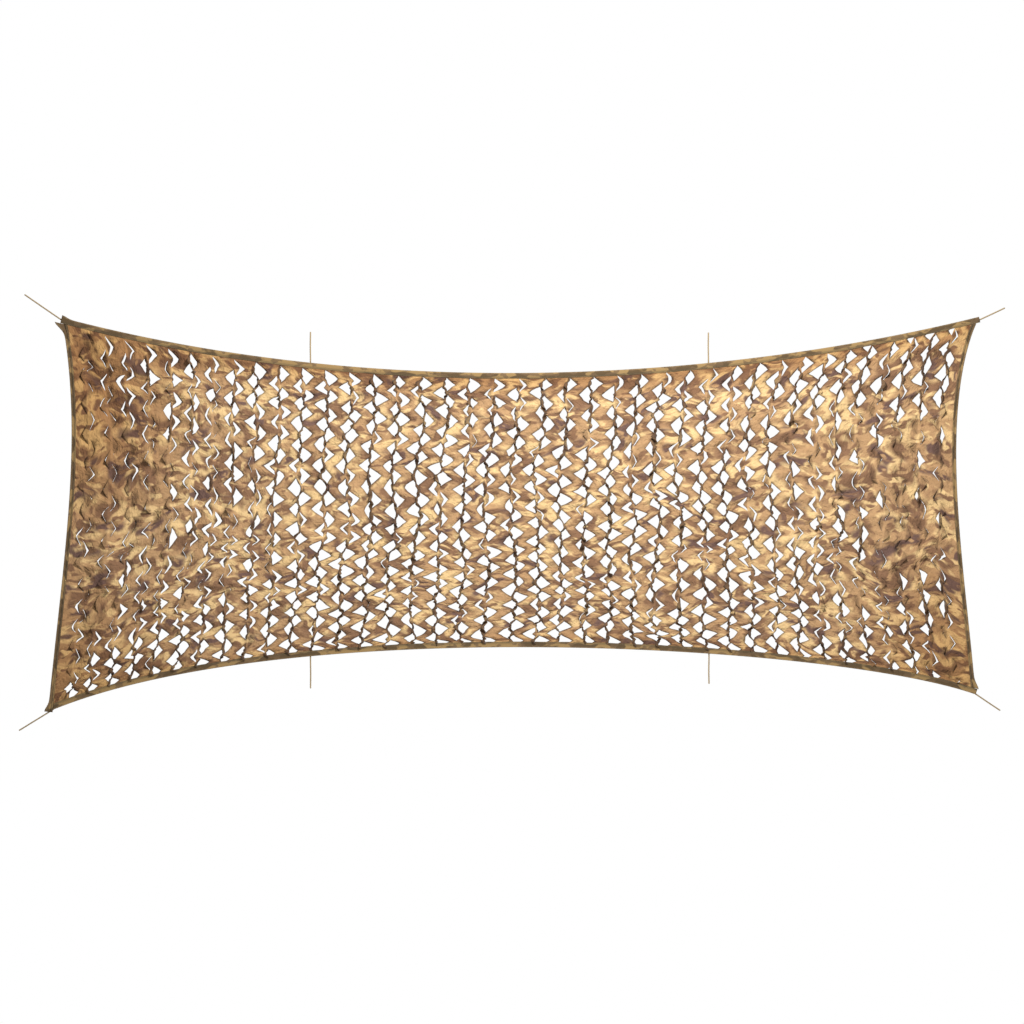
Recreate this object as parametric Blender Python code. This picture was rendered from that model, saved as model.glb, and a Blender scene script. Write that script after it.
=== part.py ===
"""An incised camouflage net, nominal 2 x 5 m, strung up face on by eight cords.

The net hangs upright in the XZ plane. Its front looks along -Y, X runs to the right, Z up, and the
origin is the middle of the top edge. Everything is in metres.

The real net is one panel of thin cloth with rows of V-shaped cuts. Pulled lengthways it opens into
columns of gaps that point left and right in turn from an upright spine, while it draws in between
its corners. Here the gaps are cut at twice the real spacing. A folded strip is sewn over each raw
edge, and the cords are sewn to the back of the strips.
"""

import bpy
import numpy as np
from mathutils import Vector
from mathutils.geometry import delaunay_2d_cdt

# The outline of the strung net, seen from the front: (x, z) of its four corners.
CORNERS = {
    "top_left": (-2.432, 0.293),
    "top_right": (2.430, 0.297),
    "bottom_left": (-2.504, -1.797),
    "bottom_right": (2.412, -1.705),
}
# Each edge is one cubic curve from corner to corner, bowed inwards by the pull of the cords.
EDGES = {
    # edge: (from, first handle, second handle, to)
    "top": ("top_left", (-0.672, -0.170), (1.142, -0.021), "top_right"),
    "right": ("top_right", (2.200, -0.206), (2.362, -1.069), "bottom_right"),
    "bottom": ("bottom_left", (-1.265, -1.273), (1.658, -1.440), "bottom_right"),
    "left": ("top_left", (-2.311, -0.359), (-2.427, -0.995), "bottom_left"),
}
INWARD_TURN = {"top": -1, "right": -1, "bottom": 1, "left": 1}  # 1: the net is left of the edge
CURVE_STEPS = 400  # straight steps in which each curve is measured
RUN_ON = 0.15  # a curve that is moved in runs on this far past its ends

NET_THICKNESS = 0.002
TOUCH = 0.0003  # the gap that pieces sewn together keep between their faces

STRIP_LEAF = 0.0012  # thickness of one leaf of the folded edge strip
STRIP_HALF = NET_THICKNESS / 2 + TOUCH + STRIP_LEAF  # half the strip's thickness, net included
STRIP_WIDTHS = {"top": 0.030, "right": 0.022, "bottom": 0.030, "left": 0.024}
STRIP_STEP = 0.100  # between sections
END_CROWDING = 0.60  # how much closer the sections lie at a strip's ends, 0 to 1
STRIP_GAP = 0.001  # between a strip's cut end and the strip that runs past it
FLARE_REACH = 0.035  # length over which a strip's loose end turns outwards
# How the strips end: a strip runs through its corner, or stops under the one that does.
STRIP_ENDS = {
    # strip: (strip it stops under at its start, flare there, the same two at its end)
    "top": (None, 0.0, None, 0.0),
    "right": ("top", 0.002, "bottom", 0.020),
    "bottom": ("left", 0.0, None, 0.0),
    "left": ("top", 0.022, None, 0.004),
}

# The cut pattern. A spine is an upright line from which gaps open to both sides.
SPINES = 20  # spans between spines along the net
ROWS = 8  # gaps up each side of a spine
SPAN_AT_ENDS = 0.83  # spacing of the spines at the two ends, as a share of that in the middle
ROWS_DRAWN_IN = 0.10  # how much closer the rows lie at mid height than at the edges
CELL_LENGTH = 0.50  # a wide open gap: its length as a share of a span
CELL_HEIGHT = 0.66  # its height at the spine as a share of a row
CELL_OUTLINE = (
    # (along the gap from its spine, half height), as shares of its length and half height
    (0.05, 1.00),
    (0.48, 0.72),
    (1.00, 0.22),
)
FLAT_SIDE_DENT = 0.22  # how far the curled tongue reaches into the gap, as a share of its length
NO_GAP_BELOW = 0.36  # a gap less open than this stays closed
# How far the net is pulled open along its length: closed cloth at the ends, wide open between.
OPENNESS = (
    # (share of the length from the left, how open)
    (0.000, 0.00),
    (0.090, 0.30),
    (0.160, 0.55),
    (0.280, 0.86),
    (0.400, 1.00),
    (0.620, 1.00),
    (0.800, 0.86),
    (0.860, 0.60),
    (0.900, 0.20),
    (1.000, 0.00),
)
GAP_TO_EDGE = 0.042  # cloth left between a gap and the outside of the edge strip
LOOSE_POINTS = ((0.02, 0.0), (0.30, 0.20), (0.55, -0.20))  # (spans, rows) from a closed cell's spine
RIPPLE = 0.007  # how far the spines stand forward, and the bands between them back
TOP_OPEN = 0.42  # extra openness just under the top edge, where the net is pulled hardest
TOP_OPEN_DEPTH = 0.24  # it fades out this far down, as a share of the height
TOP_OPEN_MARGIN = 0.05  # and this close to the two ends, as a share of the length
OUTLINE_STEP = 0.105  # between points on the net's own edge
OUTLINE_INSET = STRIP_LEAF + 0.0022  # the raw edge lies this far in from the outside of the strips

# Soft folds: each is a ridge (height over 0, towards the front) or a trough along a line.
FOLDS = (
    # (x, z) from, (x, z) to, half width, height
    ((-2.400, 0.241), (-1.900, -0.029), 0.060, 0.030),
    ((-2.395, 0.191), (-2.060, -0.339), 0.060, -0.026),
    ((-2.340, 0.141), (-2.250, -0.569), 0.050, 0.024),
    ((-2.470, -1.729), (-2.050, -1.339), 0.065, 0.030),
    ((-2.430, -1.649), (-2.250, -1.029), 0.055, -0.026),
    ((-2.420, -1.749), (-1.800, -1.569), 0.050, -0.018),
    ((-2.210, -0.209), (-2.190, -1.259), 0.055, 0.022),
    ((-2.060, -0.429), (-2.090, -1.309), 0.060, -0.020),
    ((2.390, 0.241), (1.880, 0.051), 0.050, 0.026),
    ((2.360, 0.191), (1.980, -0.309), 0.060, -0.024),
    ((2.385, -1.659), (1.880, -1.279), 0.065, 0.030),
    ((2.350, -1.569), (2.140, -0.969), 0.055, -0.024),
    ((2.210, -0.229), (2.220, -1.189), 0.045, 0.024),
    ((2.090, -0.109), (2.060, -1.109), 0.050, -0.022),
    ((1.950, -0.269), (1.930, -1.339), 0.055, 0.022),
    ((1.780, -0.159), (1.760, -0.909), 0.060, -0.016),
)
FOLD_FREE_BAND = 0.036  # the cloth beside each strip stays flat for this far
FOLD_RISE = 0.110  # and takes this much further to reach its full depth

CORD_DIAMETER = 0.008
CORD_STEP = 0.020  # between points along a cord
CORD_BACK = STRIP_HALF + TOUCH + CORD_DIAMETER / 2  # the cords lie behind the strips
# Each cord runs from where it is sewn down behind the strips to its free end: (x, z) points.
CORD_ROUTES = {
    "top_left": ((-2.400, 0.259), (-2.440, 0.285), (-2.535, 0.350), (-2.629, 0.415)),
    "top_right": ((2.398, 0.265), (2.440, 0.284), (2.505, 0.314), (2.568, 0.344)),
    "bottom_left": ((-2.474, -1.782), (-2.520, -1.811), (-2.590, -1.854), (-2.658, -1.896)),
    "bottom_right": ((2.378, -1.679), (2.425, -1.711), (2.484, -1.751), (2.543, -1.790)),
    "top_mid_left": ((-1.113, 0.024), (-1.113, 0.069), (-1.114, 0.141), (-1.113, 0.217)),
    "top_mid_right": ((0.996, 0.027), (0.996, 0.077), (0.995, 0.146), (0.996, 0.214)),
    "bottom_mid_left": ((-1.113, -1.487), (-1.113, -1.533), (-1.112, -1.599), (-1.113, -1.673)),
    "bottom_mid_right": ((0.998, -1.465), (0.999, -1.511), (0.998, -1.579), (0.999, -1.649)),
}

FINISHES = {
    # kind: (base colour, roughness)
    "net": ((0.58, 0.36, 0.17), 0.85),
    "strip": ((0.26, 0.20, 0.09), 0.85),
    "cord": ((0.52, 0.45, 0.30), 0.80),
}


def clear_scene():
    """Start from an empty scene."""
    for thing in list(bpy.data.objects):
        bpy.data.objects.remove(thing, do_unlink=True)


def finish(kind, name):
    """A plain material of the piece's colour."""
    colour, roughness = FINISHES[kind]
    material = bpy.data.materials.new(name)
    material.use_nodes = True
    shader = material.node_tree.nodes["Principled BSDF"]
    shader.inputs["Base Color"].default_value = (*colour, 1.0)
    shader.inputs["Roughness"].default_value = roughness
    shader.inputs["Metallic"].default_value = 0.0
    return material


def add_mesh(name, kind, vertices, faces):
    """Put vertices and faces into a new object with its own material."""
    mesh = bpy.data.meshes.new(name)
    mesh.from_pydata([tuple(v) for v in vertices], [], [tuple(f) for f in faces])
    mesh.validate()
    mesh.update()
    mesh.materials.append(finish(kind, name))
    thing = bpy.data.objects.new(name, mesh)
    bpy.context.scene.collection.objects.link(thing)


def edge_curve(edge):
    """An edge of the net as CURVE_STEPS short steps: the cubic through its two handles."""
    start, first, second, end = EDGES[edge]
    a, b, c, d = (np.array(p) for p in (CORNERS[start], first, second, CORNERS[end]))
    t = np.linspace(0.0, 1.0, CURVE_STEPS + 1)[:, None]
    return (1 - t) ** 3 * a + 3 * (1 - t) ** 2 * t * b + 3 * (1 - t) * t**2 * c + t**3 * d


def lengths_along(line):
    """The distance from a line's start to each of its points."""
    return np.concatenate(([0.0], np.cumsum(np.linalg.norm(np.diff(line, axis=0), axis=1))))


def points_at(line, share):
    """Points on a line at the given shares of its length."""
    run = lengths_along(line)
    wanted = np.asarray(share) * run[-1]
    return np.stack([np.interp(wanted, run, line[:, i]) for i in (0, 1)], axis=-1)


def moved_in(edge, distance):
    """An edge moved into the net, run on straight past both its ends so that two of them cross."""
    line = edge_curve(edge)
    along = np.gradient(line, axis=0)
    along /= np.linalg.norm(along, axis=1)[:, None]
    across = np.stack([-along[:, 1], along[:, 0]], axis=1) * INWARD_TURN[edge]
    line = line + across * distance
    return np.concatenate([line[:1] - along[:1] * RUN_ON, line, line[-1:] + along[-1:] * RUN_ON])


def crossing(line, other):
    """Where two lines cross, as a number of steps along each of them."""
    a, b = line[:-1, None, :], np.diff(line, axis=0)[:, None, :]
    c, d = other[None, :-1, :], np.diff(other, axis=0)[None, :, :]
    turn = b[..., 0] * d[..., 1] - b[..., 1] * d[..., 0]
    turn = np.where(np.abs(turn) < 1e-15, np.inf, turn)
    gap = c - a
    on_line = (gap[..., 0] * d[..., 1] - gap[..., 1] * d[..., 0]) / turn
    on_other = (gap[..., 0] * b[..., 1] - gap[..., 1] * b[..., 0]) / turn
    hit = (on_line >= 0) & (on_line <= 1) & (on_other >= 0) & (on_other <= 1) & np.isfinite(turn)
    i, j = np.argwhere(hit)[0]
    return i + on_line[i, j], j + on_other[i, j]


def stretch(line, start, end, shares):
    """Points between two steps of a line, at the given shares of the length between them."""
    steps = np.arange(len(line))
    inside = steps[(steps > start + 1e-6) & (steps < end - 1e-6)]
    ends = [[np.interp(step, steps, line[:, i]) for i in (0, 1)] for step in (start, end)]
    return points_at(np.array([ends[0], *line[inside], ends[1]]), shares)


def loop_at(distance, step):
    """The four edges, moved into the net and cut where they cross, as one loop of points."""
    lines = {edge: moved_in(edge, distance) for edge in EDGES}
    top_left = crossing(lines["top"], lines["left"])
    top_right = crossing(lines["top"], lines["right"])
    bottom_left = crossing(lines["bottom"], lines["left"])
    bottom_right = crossing(lines["bottom"], lines["right"])
    runs = (
        # edge, from, to, direction: bottom to the right, up, top to the left, down
        ("bottom", bottom_left[0], bottom_right[0], 1),
        ("right", top_right[1], bottom_right[1], -1),
        ("top", top_left[0], top_right[0], -1),
        ("left", top_left[1], bottom_left[1], 1),
    )
    loop = []
    for edge, start, end, direction in runs:
        count = round(lengths_along(lines[edge])[-1] / step) + 1
        points = stretch(lines[edge], start, end, np.linspace(0.0, 1.0, count))
        loop.append(points[::direction][:-1])
    return np.concatenate(loop)


def distance_to_edges(points):
    """How far each point lies from the nearest edge of the net."""
    rim = np.concatenate([edge_curve(edge) for edge in EDGES])
    apart = points[:, None, :] - rim[None, :, :]
    return np.sqrt((apart**2).sum(axis=-1).min(axis=1))


def inside(points, loop):
    """Which points lie inside a loop: a line to the right of them crosses it an odd number of times."""
    a, b = loop, np.roll(loop, -1, axis=0)
    x, z = points[:, :1], points[:, 1:]
    spans = (a[:, 1] > z) != (b[:, 1] > z)
    rise = np.where(a[:, 1] == b[:, 1], 1.0, b[:, 1] - a[:, 1])
    at = a[:, 0] + (z - a[:, 1]) / rise * (b[:, 0] - a[:, 0])
    return (spans & (x < at)).sum(axis=1) % 2 == 1


def net_place(u, v):
    """A place in the pattern as (x, z): u runs from the left end to the right, v from the top down.

    The spines lie closer at the two ends and the rows closer at mid height, and the four edges are
    blended: across from top to bottom, plus across from left to right, less the corners' own blend.
    """
    t = np.linspace(0.0, 1.0, CURVE_STEPS + 1)
    span = SPAN_AT_ENDS + (1 - SPAN_AT_ENDS) * 4 * t * (1 - t)
    pattern = np.concatenate(([0.0], np.cumsum((1 / span[1:] + 1 / span[:-1]) / 2)))
    along = np.interp(u, pattern / pattern[-1], t)
    drawn = ROWS_DRAWN_IN * 4 * along * (1 - along)
    down = v + drawn * np.sin(2 * np.pi * v) / (2 * np.pi)
    top = points_at(edge_curve("top"), along)
    bottom = points_at(edge_curve("bottom"), along)
    left = points_at(edge_curve("left"), down)
    right = points_at(edge_curve("right"), down)
    a, d = along[..., None], down[..., None]
    corner = {name: np.array(place) for name, place in CORNERS.items()}
    blend = (1 - d) * ((1 - a) * corner["top_left"] + a * corner["top_right"])
    blend = blend + d * ((1 - a) * corner["bottom_left"] + a * corner["bottom_right"])
    return (1 - d) * top + d * bottom + (1 - a) * left + a * right - blend


def depth(points):
    """y of the net's middle: the sum of its folds, fading out beside the edge strips.

    A fold is height times exp(-(distance across / half width)^2), and along its line it swells
    from nothing at each end like half a sine wave.
    """
    total = np.zeros(len(points))
    for start, end, half_width, height in FOLDS:
        start, end = np.array(start), np.array(end)
        length = np.linalg.norm(end - start)
        way = (end - start) / length
        rel = points - start
        along = (rel @ way) / length
        across = rel @ np.array([-way[1], way[0]])
        swell = np.sin(np.pi * np.clip(along, 0.0, 1.0))
        total -= height * swell * np.exp(-((across / half_width) ** 2))
    free = np.clip((distance_to_edges(points) - FOLD_FREE_BAND) / FOLD_RISE, 0.0, 1.0)
    return total * free * free * (3 - 2 * free)


def openness(u, v):
    """How far the net is pulled open at a place in the pattern, 0 to 1: more so beside the top."""
    table = np.array(OPENNESS)
    near_top = np.clip(1 - v / TOP_OPEN_DEPTH, 0.0, 1.0)
    fade = np.clip(np.minimum(u, 1 - u) / TOP_OPEN_MARGIN, 0.0, 1.0)
    return np.clip(np.interp(u, table[:, 0], table[:, 1]) + TOP_OPEN * near_top * fade, 0.0, 1.0)


def ripple(u, v):
    """y from the pull on the cut cloth: the spines stand forward and the bands between lie back."""
    return -RIPPLE * openness(u, v) * np.cos(2 * np.pi * u * SPINES)


def cell(spine, row_centre, way):
    """One gap's outline in the pattern, as (u, v) points, or None where the cloth stays closed.

    way is 1 for a gap that points right from its spine, and -1 for one that points left.
    """
    u0, v0 = spine / SPINES, row_centre / ROWS
    open_here = float(openness(u0 + way * 0.25 / SPINES, v0))
    if open_here < NO_GAP_BELOW:
        return None
    length = way * CELL_LENGTH * open_here / SPINES
    half = CELL_HEIGHT * (0.55 + 0.45 * open_here) / 2 / ROWS
    upper = [(u0 + a * length, v0 - h * half) for a, h in CELL_OUTLINE]
    lower = [(u0 + a * length, v0 + h * half) for a, h in reversed(CELL_OUTLINE)]
    outline = np.array([*upper, *lower, (u0 + FLAT_SIDE_DENT * length, v0)])
    inside_net = outline.min() > 0.0 and outline.max() < 1.0
    if not inside_net or distance_to_edges(net_place(*outline.T)).min() < GAP_TO_EDGE:
        return None
    return outline


def pattern():
    """The gaps' outlines, and loose points that carry the folds where no gap is cut, as (u, v)."""
    gaps, loose = [], []
    for spine in range(SPINES + 1):
        for way, rows in ((1, ROWS), (-1, ROWS - 1)):
            for row in range(rows):
                centre = row + (0.5 if way == 1 else 1.0)
                outline = cell(spine, centre, way)
                if outline is not None:
                    gaps.append(outline)
                    continue
                loose += [
                    ((spine + way * along) / SPINES, (centre + down) / ROWS)
                    for along, down in LOOSE_POINTS
                ]
    loose = np.array([(u, v) for u, v in loose if 0 < u < 1])
    return gaps, loose[distance_to_edges(net_place(*loose.T)) > GAP_TO_EDGE]


def make_net():
    """The net: its outline with the gaps left out, split into triangles, bent into its folds.

    A front and a back copy lie half the thickness to either side, joined all round each edge.
    """
    outline = loop_at(OUTLINE_INSET, OUTLINE_STEP)
    band = loop_at(FOLD_FREE_BAND, OUTLINE_STEP)
    gaps, loose = pattern()
    gap_places = [net_place(*gap.T) for gap in gaps]
    loops = [outline, band, *gap_places]
    points = np.concatenate([*loops, net_place(*loose.T)])
    cut_cloth = np.concatenate([*gaps, loose])
    forward = np.zeros(len(points))
    forward[-len(cut_cloth) :] = ripple(*cut_cloth.T)

    edges, first = [], 0
    for loop in loops:
        ring = list(range(first, first + len(loop)))
        edges += zip(ring, ring[1:] + ring[:1])
        first += len(loop)
    _, _, split, sources, _, _ = delaunay_2d_cdt([Vector(p) for p in points], edges, [], 0, 1e-6)
    source = [same[0] for same in sources]
    places, forward = points[source], forward[source]
    corners = places[np.array(split)]
    cloth = inside(corners.mean(axis=1), outline)
    for gap in gap_places:
        cloth &= ~inside(corners.mean(axis=1), gap)
    side = np.diff(corners, axis=1)
    turn = side[:, 0, 0] * side[:, 1, 1] - side[:, 0, 1] * side[:, 1, 0]
    triangles = [tuple(t if s > 0 else t[::-1]) for t, s, kept in zip(split, turn, cloth) if kept]

    y = depth(places) + forward
    count = len(places)
    front = np.stack([places[:, 0], y - NET_THICKNESS / 2, places[:, 1]], axis=1)
    back = np.stack([places[:, 0], y + NET_THICKNESS / 2, places[:, 1]], axis=1)
    steps = {(t[i], t[(i + 1) % 3]) for t in triangles for i in range(3)}
    rim = [(p, q) for p, q in steps if (q, p) not in steps]
    walls = [(q, p, p + count, q + count) for p, q in sorted(rim)]
    backs = [tuple(i + count for i in reversed(t)) for t in triangles]
    add_mesh("net", "net", np.concatenate([front, back]), [*triangles, *backs, *walls])


def strip_side(edge, distance, count):
    """One long side of a strip, cut where it runs in under another strip's inner edge."""
    under_start, _, under_end, _ = STRIP_ENDS[edge]
    line = moved_in(edge, distance)
    start, end = 1, len(line) - 2
    if under_start:
        start = crossing(line, moved_in(under_start, STRIP_WIDTHS[under_start] + STRIP_GAP))[0]
    if under_end:
        end = crossing(line, moved_in(under_end, STRIP_WIDTHS[under_end] + STRIP_GAP))[0]
    # Sections crowd towards both ends, where the loose ends turn outwards.
    share = np.linspace(0.0, 1.0, count)
    share = share - END_CROWDING * np.sin(2 * np.pi * share) / (2 * np.pi)
    return stretch(line, start, end, share)


def make_strip(edge):
    """A strip folded over one edge: two leaves and the fold that joins them, carried along it.

    The section is a U, open towards the net. Its two sides follow the edge and the edge moved in by
    the strip's width, and each is cut by itself, so a strip that stops under another is mitred.
    """
    width = STRIP_WIDTHS[edge]
    _, flare_start, _, flare_end = STRIP_ENDS[edge]
    count = round(lengths_along(edge_curve(edge))[-1] / STRIP_STEP) + 1
    outer, inner = strip_side(edge, 0.0, count), strip_side(edge, width, count)
    run = lengths_along(outer)
    out = outer - inner
    out /= np.linalg.norm(out, axis=1)[:, None]
    flare = flare_start * np.exp(-((run / FLARE_REACH) ** 2))
    flare = flare + flare_end * np.exp(-(((run[-1] - run) / FLARE_REACH) ** 2))
    moved = out * flare[:, None]

    clear = NET_THICKNESS / 2 + TOUCH
    fold = STRIP_LEAF / width
    section = (
        # (share of the width from the fold, y)
        (0.0, -STRIP_HALF),
        (1.0, -STRIP_HALF),
        (1.0, -clear),
        (fold, -clear),
        (fold, clear),
        (1.0, clear),
        (1.0, STRIP_HALF),
        (0.0, STRIP_HALF),
    )
    rings = []
    for share, y in section:
        place = outer * (1 - share) + inner * share + moved * (1 - share) ** 2
        rings.append(np.stack([place[:, 0], np.full(len(place), y), place[:, 1]], axis=1))
    points = np.stack(rings, axis=1)  # station, corner of the section, xyz
    stations, corners = points.shape[:2]
    faces = []
    for this in range(0, (stations - 1) * corners, corners):
        after = this + corners
        for j in range(corners):
            k = (j + 1) % corners
            faces.append((this + j, this + k, after + k, after + j))
    last = (stations - 1) * corners
    for end_face in ((0, 1, 2, 3), (0, 3, 4, 7), (4, 5, 6, 7)):
        faces += [end_face[::-1], tuple(last + j for j in end_face)]
    if INWARD_TURN[edge] == 1:
        faces = [face[::-1] for face in faces]
    add_mesh(f"strip_{edge}", "strip", points.reshape(-1, 3), faces)


def smooth_route(points, step):
    """Evenly spaced places on the smooth curve through a route's own points.

    Between each two points runs a cubic whose slope at a point is half the way from the point
    before to the point after it.
    """
    points = np.array(points)
    before = np.concatenate(([2 * points[0] - points[1]], points[:-1]))
    after = np.concatenate((points[1:], [2 * points[-1] - points[-2]]))
    slope = (after - before) / 2
    t = np.linspace(0.0, 1.0, 24, endpoint=False)[:, None]
    pieces = [
        (2 * t**3 - 3 * t**2 + 1) * points[i]
        + (t**3 - 2 * t**2 + t) * slope[i]
        + (3 * t**2 - 2 * t**3) * points[i + 1]
        + (t**3 - t**2) * slope[i + 1]
        for i in range(len(points) - 1)
    ]
    line = np.concatenate([*pieces, points[-1:]])
    count = max(3, round(lengths_along(line)[-1] / step) + 1)
    return points_at(line, np.linspace(0.0, 1.0, count))


def make_cord(name):
    """A round cord, sewn down behind the strips at its near end and pulled straight outwards."""
    route = smooth_route(CORD_ROUTES[name], CORD_STEP)
    curve = bpy.data.curves.new(f"cord_{name}", "CURVE")
    curve.dimensions = "3D"
    curve.bevel_depth = CORD_DIAMETER / 2
    curve.bevel_resolution = 2
    curve.use_fill_caps = True
    spline = curve.splines.new("POLY")
    spline.points.add(len(route) - 1)
    for point, (x, z) in zip(spline.points, route):
        point.co = (x, CORD_BACK, z, 1.0)
    spline.use_smooth = True
    curve.materials.append(finish("cord", f"cord_{name}"))
    thing = bpy.data.objects.new(f"cord_{name}", curve)
    bpy.context.scene.collection.objects.link(thing)


def main():
    """Build the net, its four edge strips and its eight cords."""
    clear_scene()
    make_net()
    for edge in EDGES:
        make_strip(edge)
    for name in CORD_ROUTES:
        make_cord(name)


main()
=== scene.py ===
# %% [markdown]
# # A camouflage net, strung up by eight cords
# One long panel of thin printed cloth has rows of V-shaped slits, and a folded strip over each raw
# edge. Eight cords pull it taut, so that each slit opens into a gap, and the tongue of cloth that
# the slit frees curls out of it. This notebook dresses the plain solids of that net, which it
# loads first.

# %% Load the frame
import math

import bpy
import numpy as np
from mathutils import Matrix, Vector


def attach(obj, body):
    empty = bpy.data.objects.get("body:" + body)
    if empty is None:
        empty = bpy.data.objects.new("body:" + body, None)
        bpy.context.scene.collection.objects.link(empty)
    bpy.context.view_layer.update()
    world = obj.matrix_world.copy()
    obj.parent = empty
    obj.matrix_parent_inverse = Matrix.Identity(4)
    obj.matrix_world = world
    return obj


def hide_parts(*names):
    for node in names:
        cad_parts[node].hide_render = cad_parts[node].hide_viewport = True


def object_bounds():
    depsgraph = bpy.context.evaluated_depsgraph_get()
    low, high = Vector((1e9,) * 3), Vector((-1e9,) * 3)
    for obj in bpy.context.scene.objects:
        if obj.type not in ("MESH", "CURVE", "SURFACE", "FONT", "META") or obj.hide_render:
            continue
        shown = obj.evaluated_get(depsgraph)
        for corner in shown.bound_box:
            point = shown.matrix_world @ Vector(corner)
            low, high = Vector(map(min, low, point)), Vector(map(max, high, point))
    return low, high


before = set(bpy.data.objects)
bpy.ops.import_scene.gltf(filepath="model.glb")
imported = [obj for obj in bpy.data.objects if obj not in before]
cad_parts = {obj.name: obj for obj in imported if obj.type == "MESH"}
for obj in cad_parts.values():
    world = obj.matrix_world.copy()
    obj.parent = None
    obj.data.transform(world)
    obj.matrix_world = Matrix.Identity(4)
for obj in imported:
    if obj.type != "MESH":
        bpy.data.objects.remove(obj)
CAD_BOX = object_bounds()

# %% [markdown]
# ## The camera
# The photograph looks straight at the net and shows no perspective, so the camera is orthographic.
# The net's size gives the length that a pixel shows, and the top edge's middle the camera's place.

# %% Camera
PIXEL = 0.0053  # metres of net that one pixel of the photograph shows
PHOTO_SIDE = 1024  # the photograph's width and height in pixels
ORIGIN_PIXEL = (520.5, 372.8)  # where the photograph shows the frame's origin
CAMERA_BACK = 8.0

scene = bpy.context.scene


def placed(name, data):
    """A new object of the scene."""
    made = bpy.data.objects.new(name, data)
    scene.collection.objects.link(made)
    return made


camera = placed("camera", bpy.data.cameras.new("camera"))
camera.data.type = "ORTHO"
camera.data.ortho_scale = PHOTO_SIDE * PIXEL
camera.location = (
    (PHOTO_SIDE / 2 - ORIGIN_PIXEL[0]) * PIXEL,
    -CAMERA_BACK,
    (ORIGIN_PIXEL[1] - PHOTO_SIDE / 2) * PIXEL,
)
camera.rotation_euler = (math.pi / 2, 0.0, 0.0)
scene.camera = camera
print("the camera sees", round(camera.data.ortho_scale, 3), "m")

# %% [markdown]
# ## Sizes that the net's own source also has
# Each edge is one cubic curve, bowed inwards by the pull of the cords. The folds, the strips and
# the cords repeat the source's sizes too, so that each piece lies where its solid does.

# %% Outline and folds
CORNERS = {
    "top_left": (-2.432, 0.293),
    "top_right": (2.430, 0.297),
    "bottom_left": (-2.504, -1.797),
    "bottom_right": (2.412, -1.705),
}
EDGES = {
    # edge: (from, first handle, second handle, to)
    "top": ("top_left", (-0.672, -0.170), (1.142, -0.021), "top_right"),
    "right": ("top_right", (2.200, -0.206), (2.362, -1.069), "bottom_right"),
    "bottom": ("bottom_left", (-1.265, -1.273), (1.658, -1.440), "bottom_right"),
    "left": ("top_left", (-2.311, -0.359), (-2.427, -0.995), "bottom_left"),
}
INWARD_TURN = {"top": -1, "right": -1, "bottom": 1, "left": 1}  # 1: the net is left of the edge
CURVE_STEPS = 400
RUN_ON = 0.15  # a curve that is moved in runs on this far past its ends

FOLDS = (
    # (x, z) from, (x, z) to, half width, height towards the front
    ((-2.400, 0.241), (-1.900, -0.029), 0.060, 0.030),
    ((-2.395, 0.191), (-2.060, -0.339), 0.060, -0.026),
    ((-2.340, 0.141), (-2.250, -0.569), 0.050, 0.024),
    ((-2.470, -1.729), (-2.050, -1.339), 0.065, 0.030),
    ((-2.430, -1.649), (-2.250, -1.029), 0.055, -0.026),
    ((-2.420, -1.749), (-1.800, -1.569), 0.050, -0.018),
    ((-2.210, -0.209), (-2.190, -1.259), 0.055, 0.022),
    ((-2.060, -0.429), (-2.090, -1.309), 0.060, -0.020),
    ((2.390, 0.241), (1.880, 0.051), 0.050, 0.026),
    ((2.360, 0.191), (1.980, -0.309), 0.060, -0.024),
    ((2.385, -1.659), (1.880, -1.279), 0.065, 0.030),
    ((2.350, -1.569), (2.140, -0.969), 0.055, -0.024),
    ((2.210, -0.229), (2.220, -1.189), 0.045, 0.024),
    ((2.090, -0.109), (2.060, -1.109), 0.050, -0.022),
    ((1.950, -0.269), (1.930, -1.339), 0.055, 0.022),
    ((1.780, -0.159), (1.760, -0.909), 0.060, -0.016),
)


def edge_curve(edge):
    """An edge of the net as short steps: the cubic through its two handles."""
    start, first, second, end = EDGES[edge]
    a, b, c, d = (np.array(p) for p in (CORNERS[start], first, second, CORNERS[end]))
    t = np.linspace(0.0, 1.0, CURVE_STEPS + 1)[:, None]
    return (1 - t) ** 3 * a + 3 * (1 - t) ** 2 * t * b + 3 * (1 - t) * t**2 * c + t**3 * d


def lengths_along(line):
    """The distance from a line's start to each of its points."""
    return np.concatenate(([0.0], np.cumsum(np.linalg.norm(np.diff(line, axis=0), axis=1))))


def points_at(line, share):
    """Points on a line at the given shares of its length."""
    run = lengths_along(line)
    wanted = np.asarray(share) * run[-1]
    return np.stack([np.interp(wanted, run, line[:, i]) for i in (0, 1)], axis=-1)


for name in EDGES:
    print(name, "edge:", round(lengths_along(edge_curve(name))[-1], 3), "m")

# %% [markdown]
# ## Helpers for pieces
# A piece is an object whose mesh holds its place, so the object itself stays at the origin. Most
# pieces are grids of points that are worked out as whole arrays.

# %% Ease, noise and pieces
NOISE_SIDE = 256  # whole numbers after which the hills repeat


def ease(t):
    """0 below 0, 1 above 1, and 3t^2 - 2t^3 between."""
    t = np.clip(t, 0.0, 1.0)
    return t * t * (3 - 2 * t)


def blend(first, last, share):
    """first where share is 0, last where it is 1, and straight between."""
    return (1 - share) * first + share * last


def unit(vectors):
    """The same directions, each of length 1."""
    return vectors / np.linalg.norm(vectors, axis=-1, keepdims=True)


def quarter_turn(way):
    """Directions on the net, as (x, z), turned by a quarter."""
    return np.stack([-way[..., 1], way[..., 0]], axis=-1)


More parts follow.
